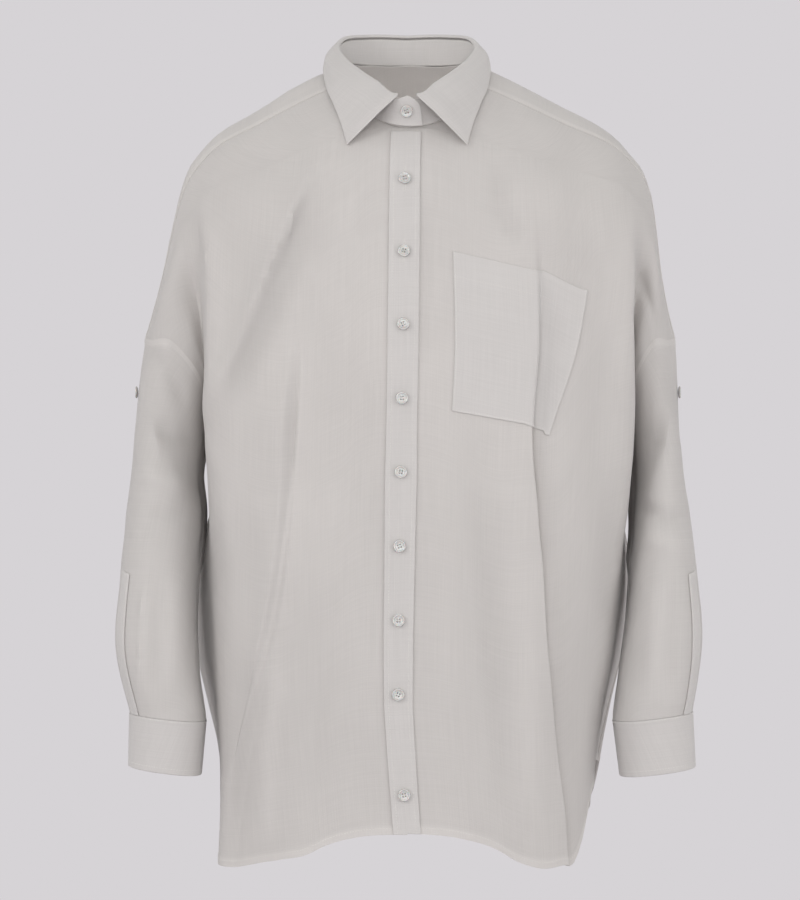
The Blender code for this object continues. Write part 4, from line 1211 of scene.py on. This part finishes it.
def surface_of(grid, flip, creases=None):
    """A surface on points: its normals, and where creases are given, the cloth's own waves."""
    flat = grid.reshape(-1, 3)
    around = grid_quads(*grid.shape[:2], flip)
    normals = point_normals(flat, around)
    if creases is not None:
        flat = flat + normals * detail(flat, normals, creases)[:, None]
        normals = point_normals(flat, around)
    return Surface(flat.reshape(grid.shape), normals.reshape(grid.shape))


# ---------------------------------------------------------------- the collar
STAND_ROWS = 14
LAP_FINE = 8
STAND_THICK = 0.0018
STAND_CORNER = 0.12
STAND_ROUND = 0.35
COLLAR_LIFT = 0.0001
FALL_FINE = 160
FALL_ROWS = np.concatenate([(0, 0.35, 0.7, 1.0, 1.3, 1.6), np.arange(8, 16) / 4, np.arange(20, 26) / 5])
# Rows of stitches: how far in from an edge, and the parts of the fall's edge and ends that they run along
EDGE_STITCH = 0.0016
COLLAR_STITCH = 0.0052
FALL_EDGE = (0.03, 0.97)
FALL_ENDS = slice(5, -3)


def fine_neck():
    """Points and normals of the neckline, from the front around the left side and back."""
    start = LOW_FINE + len(FINE_FRONT) - len(FINE_NECK_FRONT)
    found = []
    for values in (grids, normal_grids):
        halves = []
        for name in ("left", "right"):
            front, yoke = values[f"front_{name}"], values[f"yoke_{name}"]
            halves.append(np.concatenate([front[start:, 0], yoke[1 : len(FINE_NECK_YOKE), 0]]))
        if values is grids:
            halves[0][0] = body(1, np.zeros(1), np.array([NECK_FRONT]))[0]
        found.append(np.concatenate([halves[0], halves[1][-2::-1]]))
        found[-1][-1] = found[-1][0]
    return found


def stand_grid():
    """The stand, from the neckline to just below the fold, its ends lapped and their corners round."""
    loop, directions = fine_neck()
    turns = np.linspace(0, 2 * math.pi, len(loop))
    lap = np.linspace(-STAND_LAP, 0, LAP_FINE + 1)[:-1]
    fine = np.concatenate([lap, turns, 2 * math.pi - lap[::-1]])
    around = fine % (2 * math.pi)
    foot = between(around, turns, loop) + unit(between(around, turns, directions)) * LAYER_GAP
    top = collar_curve(fine, "fold") - np.array([0, 0, FOLD_DROP])
    end = np.minimum(fine - fine[0], fine[-1] - fine)
    corner = np.clip(1 - end / STAND_CORNER, 0, 1)
    top = top - (top - foot) * (STAND_ROUND * (1 - np.sqrt(1 - corner**2)))[:, None]
    off = outward_of(fine) * collar_lap(fine)[:, None]
    return np.array([foot + (top - foot) * share + off for share in np.linspace(0, 1, STAND_ROWS)])


def fall_grid():
    """The fall, from inside the fold over it and down to its edge."""
    start = fold_turn(COLLAR[-1].fold)
    turns = np.linspace(start, 2 * math.pi - start, FALL_FINE + 1)
    away, up = outward_of(turns), np.array([0, 0, 1])
    clear = np.maximum(collar_lap(turns), collar_lap(2 * math.pi - turns))[:, None]
    top = collar_curve(turns, "fold") - up * FOLD_DROP + away * clear
    rows = [top + up * turn.up + away * turn.out for turn in FALL_TURNS]
    edge = collar_curve(turns, "edge")
    rows += [rows[-1] + (edge - rows[-1]) * drop.share + away * drop.bulge for drop in FALL_DROPS]
    return along(np.arange(len(rows)), np.array(rows), FALL_ROWS)


stand = surface_of(stand_grid(), False)
fall = surface_of(fall_grid(), True)
layer("collar_stand", stand, False, STAND_THICK, COLLAR_LIFT)
layer("collar_fall", fall, True, STAND_THICK, COLLAR_LIFT)
thread = Thread()
raised_fall = raised(fall, STAND_THICK)
thread.row(inset_line(raised_fall, "end", COLLAR_STITCH, FALL_EDGE))
thread.inset(part_of(raised_fall, FALL_ENDS), ("left", COLLAR_STITCH), ("right", COLLAR_STITCH))
thread.inset(raised(stand, STAND_THICK), ("start", EDGE_STITCH))
thread.inset(Surface(stand.grid, -stand.normals), ("start", EDGE_STITCH), ("end", EDGE_STITCH))
thread.make("collar_stitches")


# ---------------------------------------------------------------- the front band
BAND_THICK = 0.0011
BAND_LIFT = LAYER_GAP + SEAM_RISE / 2
BAND_COLUMNS = 24
BAND_STITCH = 0.0042


def band_surface():
    """The band down the fronts' middle, with the cloth's own waves."""
    up = np.linspace(0, 1, LOW_FINE + 1)[:, None]
    chest = steps(-UNDERARM, NECK_FRONT - BAND_BELOW_STAND)[1:]
    across = np.linspace(BAND_SHARE, 0.0, BAND_COLUMNS // 2 + 1)
    halves = {}
    for side in (-1, 1):
        hem = hem_way(side, across, -1)
        low = hem + (-UNDERARM - hem) * up
        ways = np.concatenate([low, np.repeat(chest[:, None], len(across), axis=1)])
        halves[side] = body(side, np.broadcast_to(across, ways.shape), ways)
    both = np.concatenate([halves[-1], halves[1][:, -2::-1]], axis=1)
    return surface_of(both, False, TRUNK_CREASES)


band = band_surface()
layer("placket", band, False, BAND_THICK, BAND_LIFT)
thread = Thread()
raised_band = raised(band, BAND_LIFT + BAND_THICK)
thread.inset(raised_band, ("left", BAND_STITCH), ("right", BAND_STITCH))
thread.make("placket_stitches")


# ---------------------------------------------------------------- the pocket
POCKET_FINE = 48
POCKET_THICK = 0.0009
POCKET_HEM = 0.0235


def pocket_surface():
    """The pocket's own columns and rows, on the left front's creased face."""
    front = outer["front_left"]
    grid = front.grid
    rows, count = np.arange(len(grid)), grid.shape[1]
    fold_edge = (BEFORE_FOLD + len(FOLD_STEPS) - 1) * REFINE
    across_top = [np.interp(POCKET_TOP[1].z, grid[:, j, 2], grid[:, j, 0]) for j in range(count)]
    left = np.interp(POCKET_LEFT_X, across_top, np.arange(count))
    inner = [left] + list(range(int(left) + 2, fold_edge + 1))
    down = np.linspace(0, 1, POCKET_FINE + 1)
    past_top, past_foot = POCKET_PAST_FOLD
    past = REFINE * (past_top + (past_foot - past_top) * down)
    shares = np.linspace(0, 1, REFINE + 1)[1:]
    columns_at = np.array([inner + [fold_edge + end * share for share in shares] for end in past])
    rows_at = np.empty(columns_at.shape)
    for j, column in enumerate(columns_at[0]):
        line = surface_at(front, rows, np.full(len(rows), float(column)))[0]
        x = np.interp(POCKET_MIDDLE_Z, line[:, 2], line[:, 0])
        top, foot = np.interp(x, *zip(*POCKET_TOP)), np.interp(x, *zip(*POCKET_FOOT))
        rows_at[:, j] = np.interp(top + (foot - top) * down, line[:, 2], rows)
    return Surface(*surface_at(front, rows_at, columns_at))


pocket = pocket_surface()
layer("pocket", pocket, True, POCKET_THICK, LAYER_GAP)
thread = Thread()
edges = [(edge, EDGE_STITCH) for edge in ("left", "right", "end")]
thread.inset(raised(pocket, LAYER_GAP + POCKET_THICK), *edges, ("start", POCKET_HEM))
thread.make("pocket_stitches")


# ---------------------------------------------------------------- cuffs, tabs and slits
CUFF_FINE = 26
CUFF_STEPS = 8
CUFF_THICK = 0.0017
CUFF_STITCH = 0.0052


def cuff_grid(side):
    """The cuff, from the sleeve's end down. Its outer end stands off where it laps."""
    count = len(FRONT_WAYS) + len(YOKE_WAYS) + len(BACK_WAYS) - 3
    end = int(CUFF_END_SHARE * count)
    first, last = end - CUFF_LAP_COLUMNS, end + count
    order = np.linspace(first, last, (last - first) * CUFF_STEPS + 1)
    angles = order * 2 * math.pi / count
    top, bottom = (sleeve_section(row, side, angles) for row in (SLEEVES[side][-1], CUFF_ENDS[side]))
    lap = last - CUFF_LAP_COLUMNS - CUFF_STEP_COLUMNS
    off = smooth((order - lap) / CUFF_STEP_COLUMNS) * (DOUBLED + CUFF_LAP_GAP)
    rows = []
    for down in np.linspace(CUFF_START, 1.0, CUFF_FINE + 1):
        row = top + (bottom - top) * down
        outward = unit((row - row.mean(axis=0)) * np.array([1, 1, 0]))
        rows.append(row + outward * off[:, None])
    return np.array(rows)


def coarse_patch(side, rings, columns_of, lift):
    """A part of a sleeve's creased face, given in rings and columns of the solid."""
    first, last = (round(ring * SLEEVE_FINE / SLEEVE_RINGS) for ring in rings)
    at = sleeve_columns[side]
    found = np.nonzero((at >= columns_of[0]) & (at <= columns_of[1]))[0]
    face = outer[f"sleeve_{SIDES[side]}"]
    return raised(part_of(face, slice(first, last + 1), slice(found[0], found[-1] + 1)), lift)


cuffs = {}
for side, name in SIDES.items():
    flip, sleeve = side > 0, f"sleeve_{name}_cloth"
    cuff = cuffs[side] = surface_of(cuff_grid(side), flip)
    tab = coarse_patch(side, TAB_RINGS, TAB_COLUMNS, TAB_LIFT - SEAM_RISE)
    slit = coarse_patch(side, SLIT_RINGS, SLIT_COLUMNS, LAYER_GAP)
    layer(f"cuff_{name}", cuff, flip, CUFF_THICK, CUFF_LIFT)
    layer(f"roll_tab_{name}", tab, flip, TRIM, 0.0)
    layer(f"sleeve_placket_{name}", slit, flip, TRIM, 0.0)
    thread = Thread()
    edges = [(edge, CUFF_STITCH) for edge in ("end", "left", "right")]
    thread.inset(raised(cuff, CUFF_LIFT + CUFF_THICK), ("start", EDGE_STITCH), *edges)
    thread.inset(raised(slit, TRIM), *((edge, EDGE_STITCH) for edge in ("left", "right", "start")))
    thread.make(f"cuff_{name}_stitches")


# ---------------------------------------------------------------- seams' stitches on the panels
# Rows of stitches lie just inside the doubled bands, and a little off the cloth
HEM_STITCH = HEM_WIDE - 0.0008
FELL_STITCH = FELL_WIDE - 0.0008
YOKE_STITCH = FELL_WIDE - 0.0004
STITCH_LIFT = 0.0001
for n in names:
    surface = raised(outer[n], STITCH_LIFT)
    thread = Thread()
    if "sleeve" in n:
        thread.inset(surface, ("start", FELL_STITCH), ("left", FELL_STITCH))
    elif "yoke" in n:
        thread.inset(surface, ("start", EDGE_STITCH), ("start", YOKE_STITCH), ("end", EDGE_STITCH))
    elif n == "back":
        thread.inset(surface, ("end", HEM_STITCH))
        low = part_of(surface, slice(len(FINE_BACK), None))
        thread.inset(low, ("left", FELL_STITCH), ("right", FELL_STITCH))
    else:
        thread.inset(surface, ("start", HEM_STITCH))
    thread.make(f"{n}_stitches")


# ---------------------------------------------------------------- buttons
# The turned profile, as radius and height, then its smoothness and the four holes
BUTTON_PROFILE = (
    (0.0, -0.0011), (0.0038, -0.0011), (0.0049, -0.0009), (0.0055, -0.0004), (0.00578, 0.0001),
    (0.0057, 0.0006), (0.0054, 0.0009), (0.0050, 0.00102), (0.0046, 0.00098), (0.0042, 0.0007),
    (0.0037, 0.00048), (0.0024, 0.0004), (0.0, 0.00038),
)
BUTTON_ROUND = 64
BUTTON_SHADE = 38
HOLE_RADIUS = 0.00075
HOLE_OUT = 0.00165
HOLE_SIDES = 20
DRILL_LONG = 0.006
# The sewing thread: its radius, its sides, and how far its two bars lie from the middle of a hole
THREAD_RADIUS = 0.00016
THREAD_SIDES = 6
BAR_SHIFT = 0.0002
# Heights of a bar in its hole, near it and in the middle, and of the shank's foot, and how far out the
# second and the last of these are, as shares of the hole's place
BAR_LOW, BAR_EDGE, BAR_TOP = -0.0004, 0.00062, 0.0008
BAR_SHARE = 0.8
SHANK_LOW = -0.0022
SHANK_SHARE = 0.6
# Any direction that no bar runs along
ASKEW = np.array([0.31, 0.52, 0.79])


def button_mesh():
    """A turned four-hole button with a raised rim and a dished middle."""
    form = bmesh.new()
    rings = []
    for radius, high in BUTTON_PROFILE:
        if radius == 0:
            rings.append([form.verts.new((0, 0, high))])
            continue
        turn = np.arange(BUTTON_ROUND) * 2 * math.pi / BUTTON_ROUND
        rings.append([form.verts.new((radius * math.cos(t), radius * math.sin(t), high)) for t in turn])
    for low, up in zip(rings[:-1], rings[1:]):
        for i in range(BUTTON_ROUND):
            j = (i + 1) % BUTTON_ROUND
            if len(low) == 1:
                form.faces.new((low[0], up[j], up[i]))
            elif len(up) == 1:
                form.faces.new((low[i], low[j], up[0]))
            else:
                form.faces.new((low[i], low[j], up[j], up[i]))
    disc = bpy.data.meshes.new("button_disc")
    form.to_mesh(disc)
    form.clear()
    for i in range(4):
        turn = math.pi / 4 + i * math.pi / 2
        spot = Vector((math.cos(turn) * HOLE_OUT, math.sin(turn) * HOLE_OUT, 0))
        sizes = {"radius1": HOLE_RADIUS, "radius2": HOLE_RADIUS, "depth": DRILL_LONG}
        hole = bmesh.ops.create_cone(form, cap_ends=True, segments=HOLE_SIDES, **sizes)
        bmesh.ops.translate(form, verts=hole["verts"], vec=spot)
    drill = bpy.data.meshes.new("button_drill")
    form.to_mesh(drill)
    form.free()
    disc_obj, drill_obj = (placed(m.name, m) for m in (disc, drill))
    cut = disc_obj.modifiers.new("holes", "BOOLEAN")
    cut.operation, cut.solver, cut.object = "DIFFERENCE", "EXACT", drill_obj
    bpy.context.view_layer.update()
    drilled = disc_obj.evaluated_get(bpy.context.evaluated_depsgraph_get())
    ready = bpy.data.meshes.new_from_object(drilled)
    for o in (disc_obj, drill_obj):
        bpy.data.objects.remove(o)
    ready.materials.clear()
    ready.materials.append(PEARL)
    ready.shade_smooth()
    ready.set_sharp_from_angle(angle=math.radians(BUTTON_SHADE))
    return ready


def frame_on(place, up, turn):
    """A matrix at a place, with z along up and x level, turned about up."""
    z = Vector(up).normalized()
    x = Vector((0, 0, 1)).cross(z).normalized()
    matrix = Matrix((x, z.cross(x), z)).transposed().to_4x4()
    matrix.translation = Vector(place)
    return matrix @ Matrix.Rotation(turn, 4, "Z")


def thread_bars():
    """The thread of a four-hole button: two bars each way over the top, and the shank below."""
    lines = []
    out = HOLE_OUT * math.sqrt(0.5)
    for hole in (-out, out):
        for shift in (-BAR_SHIFT, BAR_SHIFT):
            x, foot = hole + shift, hole * SHANK_SHARE + shift
            half = [(x, out, BAR_LOW), (x, out * BAR_SHARE, BAR_EDGE)]
            other = [(x, -y, z) for x, y, z in half]
            lines.append(other + [(x, 0, BAR_TOP)] + half[::-1])
            for end in (-out, out):
                lines.append([(x, end, BAR_LOW), (foot, end * SHANK_SHARE, SHANK_LOW)])
    return lines


def tubes_of(name, lines):
    """Sewing thread along lines."""
    points, quads_made, count = [], [], 0
    turn = np.arange(THREAD_SIDES) * 2 * math.pi / THREAD_SIDES
    cosines, sines = np.cos(turn)[None, :, None], np.sin(turn)[None, :, None]
    for line in lines:
        line = np.array([tuple(p) for p in line])
        ahead = unit(np.gradient(line, axis=0))
        side = unit(np.cross(ahead, ASKEW))
        ring = side[:, None] * cosines + np.cross(ahead, side)[:, None] * sines
        quads_made.append(grid_quads(len(line), THREAD_SIDES, False, closed=True) + count)
        points.append((line[:, None] + ring * THREAD_RADIUS).reshape(-1, 3))
        count += len(line) * THREAD_SIDES
    return add_piece(name, np.concatenate(points), np.concatenate(quads_made), THREAD, shade=THREAD_SHADE)


BUTTON = button_mesh()
THREAD_BARS = thread_bars()


def sew_button(node, place, up, turn=0.0):
    """A button in place of a node, its middle at a place, and its thread."""
    matrix = frame_on(place, up, turn)
    mesh = BUTTON.copy()
    mesh.transform(matrix)
    obj = placed(f"{node}_pearl", mesh)
    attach(obj, "root")
    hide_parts(node)
    lines = [[matrix @ Vector(p) for p in line] for line in THREAD_BARS]
    sewn = tubes_of(f"{node}_thread", lines)
    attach(sewn, "root")


HOLE_LONG = 0.0165
HOLE_HALF_WIDE = 0.0007
HOLE_POINTS = 9
# A buttonhole's stitches lie side by side, as long as they are apart
SATIN = 0.0007


def hole_sides(surface, row, column, level):
    """The two long sides of a buttonhole, which runs along the band or, if level, across it."""
    long = np.linspace(-HOLE_LONG / 2, HOLE_LONG / 2, HOLE_POINTS)
    down_step, over_step = (spacing_of(surface.grid, axis) for axis in (0, 1))
    for off in (-HOLE_HALF_WIDE, HOLE_HALF_WIDE):
        down, over = (off + 0 * long, long) if level else (long, off + 0 * long)
        yield surface_at(surface, row + down / down_step, column + over / over_step)


# The buttons down the band, and how they and the stand's are turned. The last one's hole lies across.
heights = [BUTTON_TOP_Z - BUTTON_PITCH * i for i in range(BUTTONS_ON_PITCH)] + [LAST_BUTTON_Z]
TURNS = (0.15, -0.3, 0.5, 0.1, -0.2, 0.35, 0.0, -0.4, 0.25)
TOP_TURN = 0.3
middle = band.grid.shape[1] // 2
rows_of = np.interp(heights, band.grid[:, middle, 2], np.arange(len(band.grid)))
spots, ups = surface_at(raised_band, rows_of, np.full(len(rows_of), float(middle)))
thread = Thread()
for height, row in zip(heights, rows_of):
    for line in hole_sides(raised_band, row, float(middle), height == LAST_BUTTON_Z):
        thread.row(line, SATIN, SATIN)
thread.make("buttonholes")
ABOVE = BUTTON_THICK / 2 + BUTTON_GAP
for number, (spot, up, turn) in enumerate(zip(spots, ups, TURNS), start=2):
    sew_button(f"button_{number}", spot + up * ABOVE, up, turn)
half_up, lap_end = STAND_ROWS // 2, -1 - LAP_FINE
up = stand.normals[half_up, lap_end]
spot = (stand.grid[half_up - 1, lap_end] + stand.grid[half_up, lap_end]) / 2
sew_button("button_1", spot + up * (STAND_THICK + ABOVE), up, TOP_TURN)
# The sleeves' buttons lie where the solids do: on the cuff's face, and on the tab's outer side
for side, name in SIDES.items():
    centre = sum(np.array(v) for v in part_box(f"cuff_button_{name}")) / 2
    flat, normals = (values.reshape(-1, 3) for values in cuffs[side])
    sew_button(f"cuff_button_{name}", centre, normals[np.argmin(np.linalg.norm(flat - centre, axis=1))])
    centre = sum(np.array(v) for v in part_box(f"tab_button_{name}")) / 2
    sew_button(f"tab_button_{name}", centre, np.array([float(side), 0, 0]))


# ---------------------------------------------------------------- camera, floor and light
BACKDROP = (0.672, 0.651, 0.672)
FLOOR = {"Base Color": (0.60, 0.58, 0.60, 1), "Roughness": 0.9}
# The floor fades into the backdrop between these distances from its middle
FADE = {"From Min": 0.3, "From Max": 1.4}
FLOOR_Z = -1.1
STAGE_RADIUS = 30
CAMERA_AT = (-0.00864, -3.0, -0.357)
LAMPS_AIM = (0, 0, -0.35)

camera = bpy.data.cameras.new("camera")
camera.lens, camera.sensor_width, camera.sensor_fit = 125, 36, "AUTO"
camera.clip_start, camera.clip_end = 0.05, 60
view = placed("camera", camera)
view.location = CAMERA_AT
view.rotation_euler = (math.pi / 2, 0, 0)
bpy.context.scene.camera = view

world = bpy.data.worlds.new("studio")
world.use_nodes = True
background = world.node_tree.nodes["Background"]
set_inputs(world.node_tree, background, {"Color": (1, 1, 1, 1), "Strength": 0.80})
bpy.context.scene.world = world
bpy.context.scene.view_settings.view_transform = "Standard"


def glow_in(tree):
    return linked(tree, "Emission", {"Color": (*BACKDROP, 1)})


def floor_material():
    """A pale floor that fades into the backdrop's own light far from the shirt."""
    material, tree, shader = new_material("floor", FLOOR)
    length = linked(tree, "VectorMath", {0: place_in(tree)}, operation="LENGTH").outputs["Value"]
    fade = linked(tree, "MapRange", {**FADE, "Value": length}, interpolation_type="SMOOTHSTEP")
    show(tree, mixed(tree, fade.outputs["Result"], shader, glow_in(tree)))
    return material


def backdrop_material():
    material, tree, _ = new_material("backdrop")
    show(tree, glow_in(tree))
    return material


def stage(name, material, build, place):
    """One piece of the stage around the shirt."""
    mesh = bpy.data.meshes.new(name)
    form = bmesh.new()
    build(form)
    form.to_mesh(mesh)
    form.free()
    mesh.materials.append(material)
    obj = placed(name, mesh)
    obj.location = place
    return obj


stage(
    "floor", floor_material(), place=(0, 0, FLOOR_Z),
    build=lambda form: bmesh.ops.create_circle(form, cap_ends=True, segments=96, radius=STAGE_RADIUS - 1),
)
backdrop = stage(
    "backdrop", backdrop_material(), place=(0, 0, 0),
    build=lambda form: bmesh.ops.create_uvsphere(form, u_segments=64, v_segments=32, radius=STAGE_RADIUS),
)
# The camera sees the backdrop, which neither lights the shirt nor shades it
backdrop.visible_diffuse = backdrop.visible_glossy = False
backdrop.visible_transmission = backdrop.visible_shadow = False

# Lamps: place, size in metres and power in watts
for label, place, size, power in (
    ("front", (0.0, -3.3, -0.2), 2.4, 39),
    ("key", (-2.4, -1.9, 0.7), 1.2, 24),
    ("side", (2.5, -1.6, -0.2), 1.4, 17),
):
    lamp = bpy.data.lights.new(label, "AREA")
    lamp.size, lamp.energy = size, power
    lamp_obj = placed(label, lamp)
    lamp_obj.location = place
    lamp_obj.rotation_euler = (Vector(LAMPS_AIM) - Vector(place)).to_track_quat("-Z", "Y").to_euler()

# Thin cloth lets light in from all round: one soft lamp inside stands for it
glow = bpy.data.lights.new("inside", "POINT")
glow.shadow_soft_size, glow.energy = 0.06, 0.8
placed("inside", glow).location = (0, 0, -0.26)
